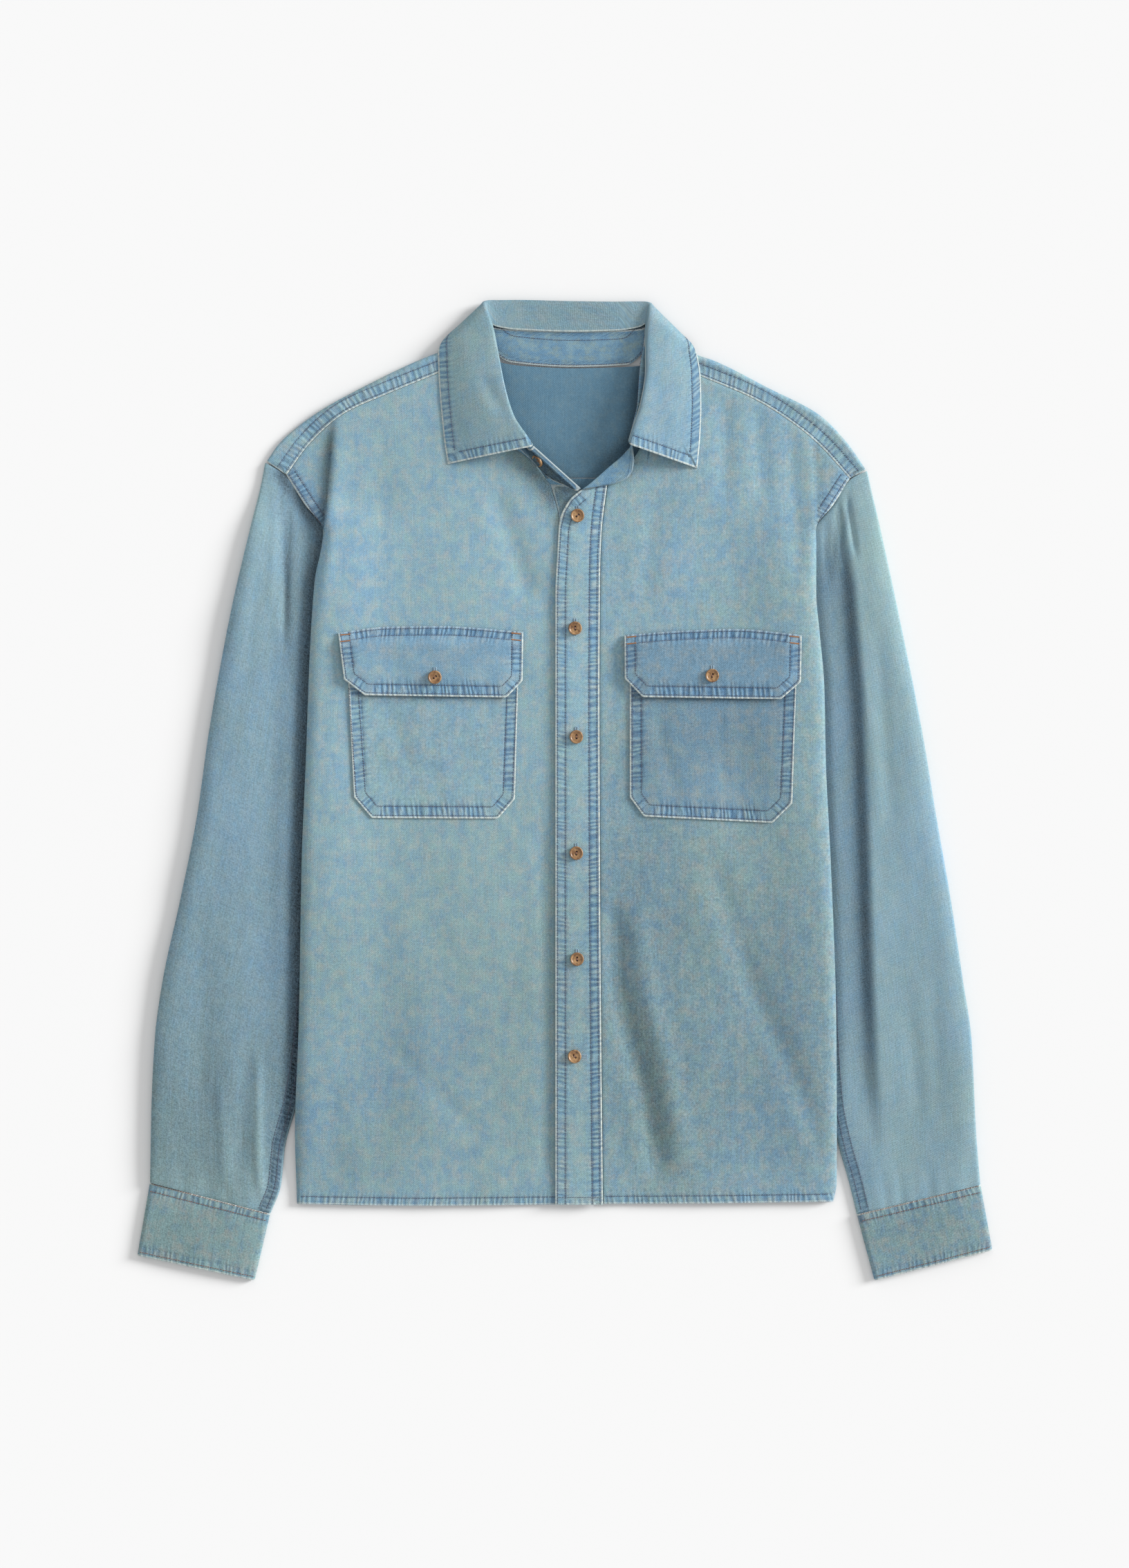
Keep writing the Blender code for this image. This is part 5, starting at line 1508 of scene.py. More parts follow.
    def cuff_cloth(self, side: Side) -> Cloth:
        """One cuff: a flattened double ring between its upper and its lower edge.

        Args:
            side: Which cuff.

        Returns:
            The tube of cloth.
        """
        outer_top, inner_top, outer_end, inner_end = np.array(self.cuff[side])
        way, points = shares(self.cuff_length, 1.6), self.top_points[1]
        start, end = (top + (low - top) * way[:, None]
                      for top, low in ((outer_top, outer_end), (inner_top, inner_end)))
        double, radius = self.form.double, self.cuff_radius
        width, across, place, height = self.ring(start, end, double, radius + 0 * way, radius, points)
        x, y = place[..., 0], place[..., 1]
        column = np.arange(len(across))[:, None]
        first_top = points // 3 + self.fold_points
        on_top = (column >= first_top) & (column < first_top + points)
        swell = 2 * np.sqrt(np.sin(np.pi * np.clip(across / width, 0.004, 0.996)))
        uneven = undulation(x, y, 30, 0.25, 51 + side.value) * np.sin(np.pi * across / width)
        height = height + (swell * (0.75 + 0.25 * np.sin(np.pi * way)) + uneven) * on_top
        down = way * self.cuff_length + 0 * x
        upper = down / self.cuff_bands[0] < (self.cuff_length - down) / self.cuff_bands[1]
        distance = np.where(upper, down, self.cuff_length - down)
        around = np.where(column >= points // 3, across, 2 * width - across)
        seam_field = np.dstack((distance, across, np.where(upper, *self.cuff_bands)))
        band = np.where(upper[..., None], (0.8, 0.6, 0), (0.7, 0.45, 0))
        return Cloth(f"cuff_{side.word}", np.dstack((place, height)), double, np.dstack((around, down)),
                     seam_field, band, wash_tone(x, y, self.cuff_wash[side], 1.3), wraps=True, rectangle=True,
                     seed=15 + side.value)

    def cuff_row(self, cloth: Cloth, down: float) -> StitchRow:
        """Stitch row across the top of a cuff.

        Args:
            cloth: The cuff.
            down: Distance from its upper edge.

        Returns:
            The row.
        """
        at = down / self.cuff_length * (cloth.middle.shape[1] - 1)
        low, share = int(at), at - int(at)
        first_top = self.top_points[1] // 3 + self.fold_points
        top = slice(first_top - 1, first_top + self.top_points[1] + 1)
        upper = cloth.upper()[top]
        return StitchRow(upper[:, low] * (1 - share) + upper[:, low + 1] * share, cloth.normal[top, low])

    def fell_rows(self, cloth: Cloth) -> list[StitchRow]:
        """Two rows along the felled seam beside a sleeve's inner edge, where it shows below the body.

        Args:
            cloth: The sleeve.

        Returns:
            The rows.
        """
        last = -self.fold_points - 2
        top = slice(last, last + 2 - self.top_points[0], -1)
        upper, normal = (grid[top].transpose(1, 0, 2) for grid in (cloth.upper(), cloth.normal))
        rows = []
        for distance in (0.9, self.fell_row - 2.6):
            points, normals = line_at(run(upper, 1), distance, (upper, normal))
            shown = (points[:, 1] < self.fell_top - 20) & (points[:, 1] > -352)
            rows.append(StitchRow(points[shown], normals[shown]))
        return rows

    def build(self, dress: Dress) -> tuple[list[StitchRow], list[StitchRow]]:
        """Builds sleeves and cuffs.

        Args:
            dress: The finishes.

        Returns:
            The rows on the cuffs, and the rows beside the sleeves' seams.
        """
        rows, seam_rows = [], []
        for side in Side:
            sleeve, cuff = self.sleeve(side), self.cuff_cloth(side)
            sleeve.build(dress.denim, (300, 660), "floor")
            cuff.build(dress.denim, (210, 61), "floor")
            rows += [self.cuff_row(cuff, down) for down in self.cuff_rows]
            seam_rows += self.fell_rows(sleeve)
        return rows, seam_rows


@dataclass
class Collar(Part):
    """Collar stand, and the leaf that rolls over it.

    Each row of a table is one section across the collar, from the wearer's right front round the back to the
    left front. The stand's rows hold its neck seam and its upper edge. The leaf's hold its seam on the stand,
    the roll and the outer edge.

    Attributes:
        leaf_row: Distance of the leaf's stitch row from its edges.
        stand_columns: Grid columns of the stand.
        leaf_columns: Grid columns of the leaf.
        rolled_end: Length at the left end over which the stand is rolled outwards.
        leaf_wash: Patches of the wash on the leaf.
        dents: Soft dents of the leaf's front parts.
    """

    leaf_row: float = 8.2
    stand_columns: int = 230
    leaf_columns: int = 250
    rolled_end: float = 48.0
    leaf_wash: Rows = ((-75, 310, 50, 60, 0, -0.03, 0), (90, 310, 40, 60, 0, -0.1, 0.2),
                       (5, 402, 80, 30, 0, -0.25, 0))
    dents: tuple[Fold, ...] = (Fold(((-70, 352), (-58, 325), (-46, 312)), 9, -1.2, 0.3),
                               Fold(((74, 360), (80, 320), (78, 290)), 12, -0.6, 0.3))
    stand_rows: tuple[Rows, ...] = (((13.4, 253.1, 7.1), (-26.3, 288, 17)),
        ((10, 251, 7.2), (-28.4, 285.2, 17.4)), ((3, 254.2, 6.6), (-30.6, 285.6, 14.6)),
        ((-12, 261, 6.4), (-34.2, 292, 14.6)), ((-26, 275, 6), (-37.6, 300, 16)),
        ((-45.6, 293.4, 4.8), (-43.5, 310, 16.6)), ((-64.2, 310.4, 5.6), (-51.5, 332, 15.5)),
        ((-71, 338.6, 6.2), (-57.5, 358, 12.8)), ((-75.2, 367, 4.8), (-62.6, 380, 9.6)),
        ((-75, 382, 4), (-63.6, 389.5, 6)), ((-64, 371, 3.2), (-58.5, 388, 4.6)),
        ((-45, 359, 3.1), (-42, 386.4, 4.3)), ((7, 355.2, 3.1), (7, 385.2, 4.3)),
        ((52, 357, 3.1), (48, 385.8, 4.3)), ((69, 371, 3.2), (63, 387, 4.6)),
        ((79.2, 380, 4), (67.8, 388.5, 6)), ((79, 365, 4.8), (66.8, 378, 9.6)),
        ((76, 337.6, 6.2), (62.8, 352, 13.4)), ((71.8, 309.6, 5.6), (60.8, 322, 16.4)),
        ((65, 297, 5.8), (56.5, 303.5, 17)), ((57.4, 289, 8), (55.4, 293.5, 16.6)),
        ((51.6, 283.5, 10.5), (57, 285, 15)), ((47, 279, 10.6), (58, 276, 12.2)),
        ((38.3, 271.8, 10.2), (56.6, 267.6, 10)), ((28.5, 263.2, 9.8), (51, 260.8, 9.2)),
        ((20, 256, 9.6), (43.8, 257.6, 9.2)), ((14.6, 252.2, 9.4), (37.4, 256, 9.2)))
    leaf_rows: tuple[Rows, ...] = (((-28.6, 289.6, 18.4), (-28, 287, 20.4), (-98, 273.2, 7.6)),
        ((-37, 299.6, 18.4), (-34.4, 298, 20.4), (-100.9, 291.7, 7.6)),
        ((-46.9, 312.4, 18), (-43.5, 312.5, 20.2), (-103, 312, 7.6)),
        ((-54.6, 334, 16.8), (-50.4, 335, 19.2), (-105, 336, 7.6)),
        ((-59.8, 359, 14.2), (-55.6, 361, 16.8), (-106, 355, 7.4)),
        ((-63.2, 383, 11.2), (-60.6, 386, 13.6), (-106.2, 367, 7.2)),
        ((-64.2, 392.5, 7.4), (-67.6, 408.6, 7), (-104, 374, 6)),
        ((-58.8, 389.2, 6.3), (-61.5, 410.6, 4.8), (-85, 387.5, 2)),
        ((-50, 387.2, 5.9), (-53, 410.9, 4.3), (-67, 381, 0.9)),
        ((-40, 386, 5.8), (-40, 411, 4.1), (-44, 362.5, 0.86)),
        ((7, 384.4, 5.8), (7, 410, 4.1), (7, 359, 0.86)),
        ((45, 385.4, 5.8), (44, 409.6, 4.1), (48, 362.5, 0.86)),
        ((54.4, 386.6, 5.9), (57, 409.8, 4.3), (71, 379, 0.9)),
        ((63.4, 388.6, 6.3), (65.5, 409.6, 4.8), (89, 385, 2)),
        ((68.4, 391.5, 7.4), (71.4, 407.6, 7), (107.5, 372, 6)),
        ((67.4, 381, 11.2), (70.4, 386, 13), (110.8, 364, 7.2)),
        ((67.4, 353, 15), (70.6, 354, 16.8), (113.6, 346, 7.4)),
        ((63, 323, 18), (66, 322, 19.6), (114.2, 322, 7.6)),
        ((56.8, 304, 18.6), (59.8, 303, 20.4), (113.4, 298, 7.6)),
        ((53.2, 291.6, 19.4), (55.8, 288, 21.4), (110.8, 269.7, 7.6)))

    def stand(self) -> Cloth:
        """The stand: straight sections between its neck seam and its upper edge.

        Returns:
            The cut of cloth.
        """
        ways = shares(420, 420 / self.stand_columns)
        seam_rows, top_rows = zip(*self.stand_rows)
        seam, top = path(seam_rows, ways), in_step(seam_rows, top_rows, ways)
        middle = seam[:, None] + (top - seam)[:, None] * shares(30, 2)[None, :, None]
        length, height = run(middle), run(middle, 1)
        to_end, to_top = length[-1:] - length, height[:, -1:] - height
        distance = np.minimum(np.minimum(height, to_top), np.minimum(length, to_end))
        at_roll = to_end < self.rolled_end
        band = np.tile((0.85, 0.45, 0), middle.shape[:2] + (1,))
        band[at_roll & (height < height[:, -1:] * 0.6)] = 0
        band[(middle[..., 0] > 55) & (middle[..., 1] > 285) & (middle[..., 1] < 372)] = 0
        band[at_roll, 0] *= 0.35
        tone = np.tile((-0.07, 0.2, 1.5), middle.shape[:2] + (1,))
        # Painted shade: the stand is darkened along a thin line about 3 mm from its end on the wearer's
        # right, and over its first 60 mm, where its face turns down out of the light.
        tone[..., 0] -= 0.25 * window(length, 1, 3, 3, 9) + 0.62 * window(length, 3, 6, 40, 60)
        weave = np.dstack((middle[..., 1], middle[..., 0] + middle[..., 2]))
        return Cloth("collar_stand", middle, self.form.single, weave,
                     np.dstack((distance, length, np.full(length.shape, 4))), band, tone, seed=20)

    def leaf(self) -> Cloth:
        """The leaf: smooth sections from its seam up over the roll and down to its outer edge.

        Returns:
            The cut of cloth.
        """
        ways = shares(520, 520 / self.leaf_columns)
        seam_rows, roll_rows, edge_rows = zip(*self.leaf_rows)
        roll = path(roll_rows, ways)
        seam, edge = in_step(roll_rows, seam_rows, ways), in_step(roll_rows, edge_rows, ways)
        on_front = smooth_step(roll[:, 2:], 7, 11)
        drop = np.minimum(1, np.clip(roll[:, 2:] - edge[:, 2:], 0, None) / 3)
        over = roll + (edge - roll) * 0.1 + UP * (1.3 * on_front - 0.4)
        half = roll + (edge - roll) * 0.55 + UP * (2 * on_front - 1.2 * drop * (1 - on_front))
        middle = self.through(np.stack((seam, roll, over, half, edge), axis=1), shares(80, 2.3, 0.7))
        x, y, height = middle[..., 0], middle[..., 1], run(middle, 1)
        dents = fold_height(x, y, self.dents) + undulation(x, y, 30, 0.25, 61)
        dents = dents * smooth_step(height[:, -1:] - height, 3, 18) * smooth_step(middle[..., 2], 6.5, 9.5)
        middle = middle + UP * dents[..., None]
        length, height = run(middle), run(middle, 1)
        from_edge, to_end = height[:, -1:] - height, np.minimum(length, length[-1:] - length)
        along = np.where(to_end < from_edge, from_edge, length)
        seam_field = np.dstack((np.minimum(to_end, from_edge), along, np.full(length.shape, self.leaf_row)))
        at_seam = (height < 3)[..., None]
        seam_field = np.where(at_seam, np.dstack((height, length, 0 * height)), seam_field)
        band = np.where(at_seam, (0.7, 0, 0), (0.95, 0.8, 0))
        return Cloth("collar_leaf", middle, self.form.double, np.dstack((from_edge, length)), seam_field,
                     band, wash_tone(x, y, self.leaf_wash, 0.55), seed=23)

    @staticmethod
    def through(controls: Array, ways: Array) -> Array:
        """Smooth sections through control points, whose slope is the mean of both neighbouring slopes.

        Args:
            controls: Points of shape (columns, controls, 3).
            ways: Where to read each section, from 0 to 1 of its length.

        Returns:
            Points of shape (columns, ways, 3).
        """
        along = run(controls, 1)
        along = (along / along[:, -1:]).mean(axis=0)
        straight = np.diff(controls, axis=1) / np.diff(along)[None, :, None]
        mean = (straight[:, :-1] + straight[:, 1:]) / 2
        return cubic(along, ways, controls, np.concatenate((straight[:, :1], mean, straight[:, -1:]), axis=1))

    def rows(self, leaf: Cloth, stand: Cloth) -> list[StitchRow]:
        """The leaf's row beside its outer and front edges, and the stand's rows beside both long edges.

        Args:
            leaf: The leaf's cloth.
            stand: The stand's cloth.

        Returns:
            The rows.
        """
        made = []
        upper, normal = leaf.upper()[:, ::-1], leaf.normal[:, ::-1]
        length = run(upper)[:, 3]
        points, normals = line_at(run(upper, 1), self.leaf_row, (upper, normal))
        front = (length > self.leaf_row) & (length[-1] - length > self.leaf_row) & (points[:, 2] > 5.5)
        for side in Side:
            chosen = front & (np.sign(points[:, 0]) == side.value)
            made.append(StitchRow(points[chosen], normals[chosen]))
        upper, normal = upper.transpose(1, 0, 2), normal.transpose(1, 0, 2)
        for way in (1, -1):
            grid, grid_normal = upper[:, ::way], normal[:, ::way]
            points, normals = line_at(run(grid, 1), self.leaf_row, (grid, grid_normal))
            made.append(StitchRow(points[5:-6], normals[5:-6]))
        upper, normal = stand.upper(), stand.normal
        height = run(upper, 1)
        for level, last in ((1.6, -34), (float(height[:, -1].mean()) - 2, -30)):
            points, normals = line_at(height, level, (upper, normal))
            made.append(StitchRow(points[20:last], normals[20:last]))
        return made

    def build(self, dress: Dress) -> list[StitchRow]:
        """Builds stand and leaf.

        Args:
            dress: The finishes.

        Returns:
            The stitch rows on them.
        """
        stand, leaf = self.stand(), self.leaf()
        lengths = [round(line_length(line)) for line in (stand.middle[:, 0], leaf.middle[:, -1])]
        stand.build(dress.stand, (lengths[0], 32), "yoke", slot="denim_inside")
        leaf.build(dress.leaf, (lengths[1], 100), "collar_stand", "yoke")
        return self.rows(leaf, stand)


# ---------------------------------------------------------------- sewing and buttons

@dataclass
class Sewing:
    """Thread laid along stitch rows as small capsules.

    A capsule of length, width and height 1 is two hexagons along x with a point at each end.

    Attributes:
        name: Name of the piece.
        seed: Seed of the small differences between stitches.
        slot: Passed on to settle, which does not use it.
    """

    name: str
    seed: int
    slot: str = "denim"

    sides = 6
    capsule = tuple((end * 0.34, math.cos(k * math.pi / 3) / 2, math.sin(k * math.pi / 3) / 2)
                    for end in (-1, 1) for k in range(6)) + ((-0.5, 0.0, -0.12), (0.5, 0.0, -0.12))
    bar_width = 1.0
    thickest = 0.62

    def stitches(self, row: StitchRow) -> Array:
        """Corner points of every stitch of a row.

        Each stitch is a capsule whose ends lie on the row, a length apart, with its width along the surface.
        The stitches of a worked bar, which are wider, lie without gaps and unslanted.

        Args:
            row: The row.

        Returns:
            Points of shape (stitches, 14, 3).
        """
        along = run(row.points)
        starts = np.arange(0.4, along[-1] - row.length, row.pitch)
        if not len(starts):
            return np.zeros((0, len(self.capsule), 3))
        dice = np.random.default_rng(self.seed + int(abs(row.points[0, 0] * 7 + row.points[0, 1] * 3)))
        starts = starts + dice.normal(0.0, 0.06 * row.pitch, starts.shape)

        def read(values: Array, at: Array) -> Array:
            """Values of the row at some places along it."""
            return np.column_stack([np.interp(at, along, column) for column in values.T])

        first, last = read(row.points, starts), read(row.points, starts + row.length)
        out = unit(read(row.normals, starts + row.length / 2))
        ahead = unit(last - first)
        ahead = unit(ahead + np.cross(out, ahead) * (row.slant if row.width < 0.7 else 0.0))
        beside = np.cross(out, ahead)
        wobble = dice.normal(0.0, 0.05, (len(starts), 1)) * (row.width < self.bar_width)
        centre = (first + last) / 2 + out * row.lift + beside * wobble
        long = min(row.length, row.pitch * 1.05) if row.width <= self.bar_width else row.pitch * 1.15
        sizes = np.array((long, row.width, min(row.width, self.thickest)))
        axes = np.stack((ahead, beside, out), axis=1)
        return centre[:, None] + (np.array(self.capsule) * sizes) @ axes

    def build(self, rows: list[StitchRow], finish: Material) -> None:
        """Builds one mesh of all the rows.

        Args:
            rows: The stitch rows.
            finish: Finish of the thread.
        """
        points = np.concatenate([self.stitches(row) for row in rows])
        start = (np.arange(len(points)) * len(self.capsule))[:, None, None]
        k = np.arange(self.sides)
        n = (k + 1) % self.sides
        first_tip = 2 * self.sides + 0 * k
        quads = np.column_stack((k, n, n + self.sides, k + self.sides)) + start
        caps = np.concatenate((np.column_stack((n, k, first_tip)),
                               np.column_stack((k + self.sides, n + self.sides, first_tip + 1)))) + start
        faces = quads.reshape(-1, 4).tolist() + caps.reshape(-1, 3).tolist()
        piece = new_mesh(self.name, points.reshape(-1, 3), faces)
        piece.data.materials.append(finish)
        settle(piece, self.slot)


@dataclass
class Seat:
    """Where a button sits: its node, the middle of its back, the way it faces and the turn of its holes."""

    name: str
    place: Array
    facing: Array
    turn: float

    def axes(self) -> Array:
        """Three unit vectors: across the button, up it and out of its face."""
        across = unit(np.cross((0.0, 1.0, 0.0), self.facing))
        return np.stack((across, np.cross(self.facing, across), self.facing))


@dataclass
class Buttons(Part):
    """The nine horn buttons that show, and their buttonholes.

    Attributes:
        profile: Its section (radius, height) from the back's middle over a rounded edge to a raised rim.
        dish: Radius of the dish inside the rim, its height in the middle, and its rise to its border.
        front: Places of the placket's buttons, with the turn of their holes in degrees.
        flap: Places of the flap buttons, with the turn of their holes.
        collar: Place of the collar's button.
        collar_facing: The way that it faces.
        around: Points round a button.
        hole: Radius of a thread hole, and its depth.
        hole_apart: Distance of each hole from the middle.
        raised: Height of a button's back over the cloth.
        hole_length: Length of a buttonhole.
        hole_sizes: Sizes of the buttonholes' stitches.
        bar_sizes: Sizes of the thread between a button's holes.
    """

    profile: Rows = ((0.4, 0), (3, 0), (4.6, 0.05), (5.25, 0.35), (5.6, 0.8), (5.7, 1.4), (5.62, 1.95),
                     (5.35, 2.3), (4.95, 2.42), (4.55, 2.25), (4.2, 1.95))
    dish: tuple[float, float, float] = (3.9, 1.62, 0.16)
    front: Rows = ((10.6, 230.1, 40), (8.6, 135.7, 90), (9.6, 44.7, 90), (9.6, -52.7, 80), (10.2, -141.5, 90),
                   (8.1, -223, 130))
    flap: dict[Side, tuple[float, float, float]] = field(default_factory=lambda: {
        Side.RIGHT: (-108.8, 94.5, 40), Side.LEFT: (123.3, 95.9, 70)})
    collar: tuple[float, float, float] = (-22, 276.6, 9.6)
    collar_facing: tuple[float, float, float] = (-0.72, -0.6, 0.4)
    around: int = 48
    hole: tuple[float, float] = (0.95, 1.1)
    hole_apart: float = 1.25
    raised: float = 0.7
    hole_length: float = 15.0
    hole_sizes: dict[str, float] = field(default_factory=lambda: {
        "pitch": 0.6, "length": 0.6, "width": 1.5, "lift": 0.15})
    bar_sizes: dict[str, float] = field(default_factory=lambda: {"pitch": 2.6, "length": 2.2, "width": 0.85})

    def disc(self, turn: float) -> Array:
        """A turned button lying on z = 0, as rings of radius and height.

        Its profile runs into a dish. Two thread holes are wells in it that rise softly to their lips.

        Args:
            turn: Direction of the line through both holes, in degrees.

        Returns:
            Points of shape (rings, around, 3).
        """
        reach, floor, rise = self.dish
        inner = np.linspace(reach, 0, 26)[:-1]
        dish = np.column_stack((inner, floor + rise * (inner / reach) ** 2))
        radius, height = np.concatenate((self.profile, dish, ((0.06, floor),))).T[..., None]
        angle = np.arange(self.around) * 2 * np.pi / self.around
        x, y, z = radius * np.cos(angle), radius * np.sin(angle), height + 0 * angle
        on_face = np.arange(len(radius))[:, None] >= len(self.profile)
        for way in (-self.hole_apart, self.hole_apart):
            gap = np.hypot(x - way * math.cos(math.radians(turn)), y - way * math.sin(math.radians(turn)))
            z -= self.hole[1] * (1 - smooth_step(gap, self.hole[0] * 0.55, self.hole[0])) * on_face
        return np.dstack((x, y, z))

    def build_one(self, seat: Seat, finish: Material) -> None:
        """Builds one button on its seat.

        Args:
            seat: Where it sits.
            finish: Finish of the horn.
        """
        grid = self.disc(seat.turn)
        index = np.arange(grid.shape[0] * grid.shape[1]).reshape(grid.shape[:2])
        shifted = np.roll(index, -1, axis=1)
        faces = np.stack((index[:-1], shifted[:-1], shifted[1:], index[1:]), axis=-1).reshape(-1, 4).tolist()
        faces += [index[0][::-1].tolist(), index[-1].tolist()]
        piece = new_mesh(f"horn_{seat.name}", grid.reshape(-1, 3) @ seat.axes() + seat.place, faces)
        set_vectors(piece, "disc", grid)
        piece.data.materials.append(finish)
        piece.data.set_sharp_from_angle(angle=math.radians(50))
        settle(piece, "horn_buttons", seat.name)

    def seats(self, pockets: Pockets) -> list[Seat]:
        """Seats of all the buttons.

        Args:
            pockets: The pockets, for the flaps' heights.

        Returns:
            One seat for each button.
        """
        made = []
        for number, (x, y, turn) in enumerate(self.front, start=1):
            place = np.array((x, y, self.form.placket_top(x, y) + self.raised))
            made.append(Seat(f"button_front_{number}", place, UP, turn))
        for side, (x, y, turn) in self.flap.items():
            place = np.array((x, y, pockets.flap_top(x, y, side) + self.raised))
            made.append(Seat(f"button_flap_{side.word}", place, UP, turn))
        return made + [Seat("button_collar", np.array(self.collar), unit(np.array(self.collar_facing)), 60)]

    def buttonholes(self, pockets: Pockets) -> list[StitchRow]:
        """Dense cross stitches of the buttonholes, two close rows for each.

        They run along the placket and down the flaps, but across the placket at its last button.

        Args:
            pockets: The pockets, for the flaps' heights.

        Returns:
            The rows.
        """
        made = []

        def hole(middle: tuple[float, float], ahead: tuple[float, float], top: Height) -> None:
            """Adds the two rows of a buttonhole.

            Args:
                middle: Its middle.
                ahead: Its direction, a unit vector.
                top: Height of the cloth.
            """
            half = np.multiply(ahead, self.hole_length / 2)
            for way in (-0.85, 0.85):
                centre = np.add(middle, (-ahead[1] * way, ahead[0] * way))
                made.append(surface_row(np.stack((centre - half, centre + half)), top, **self.hole_sizes))

        for x, y, _ in self.front[:-1]:
            hole((x, y + 1), (0, 1), self.form.placket_top)
        x, y, _ = self.front[-1]
        hole((x + 3.4, y), (1, 0), self.form.placket_top)
        for side, (x, y, _) in self.flap.items():
            hole((x, y + 1.2), (0, 1), lambda a, b, side=side: pockets.flap_top(a, b, side))
        return made

    def threads(self, seats: list[Seat]) -> list[StitchRow]:
        """The thread bar between the two holes of each button.

        Args:
            seats: The buttons' seats.

        Returns:
            One row for each button.
        """
        made = []
        ways = np.linspace(-1.5, 1.5, 7)[:, None]
        for seat in seats:
            across, up, out = seat.axes()
            ahead = across * math.cos(math.radians(seat.turn)) + up * math.sin(math.radians(seat.turn))
            points = seat.place + out * self.dish[1] + ahead * ways - out * 0.35 * (np.abs(ways) > 1.2)
            made.append(StitchRow(points, np.tile(out, (len(ways), 1)), **self.bar_sizes))
        return made


# ---------------------------------------------------------------- finishes

def linear(hex_colour: str) -> tuple[float, float, float, float]:
    """sRGB hex value as linear red, green, blue and an alpha of 1."""
    channels = [int(hex_colour[i:i + 2], 16) / 255 for i in (1, 3, 5)]
    return (*(c / 12.92 if c <= 0.04045 else ((c + 0.055) / 1.055) ** 2.4 for c in channels), 1.0)


def add(tree: bpy.types.NodeTree, kind: str, links: dict | None = None,
        **settings: object) -> bpy.types.NodeOutputs:
    """Adds one shader node.

    Args:
        tree: Tree to add it to.
        kind: Type of the node, without its "ShaderNode".
        links: Sockets by name or number, each with an output to link or a value to set.
        settings: Properties of the node.

    Returns:
        The outputs of the node.
    """
    made = tree.nodes.new(f"ShaderNode{kind}")
    for name, value in settings.items():
        setattr(made, name, value)
    for socket, value in (links or {}).items():
        if isinstance(value, bpy.types.NodeSocket):
            tree.links.new(value, made.inputs[socket])
        else:
            made.inputs[socket].default_value = value
    return made.outputs


def new_material(name: str, **values: object) -> tuple[Material, bpy.types.NodeTree, bpy.types.Node]:
    """Material with a Principled shader.

    Args:
        name: Name of the material.
        values: Uniform values of the shader's sockets, by their names with _ for a space.

    Returns:
        The material, its tree and its shader.
    """
    material = bpy.data.materials.new(name)
    material.use_nodes = True
    shader = material.node_tree.nodes["Principled BSDF"]
    for socket, value in values.items():
        shader.inputs[socket.replace("_", " ")].default_value = value
    return material, material.node_tree, shader


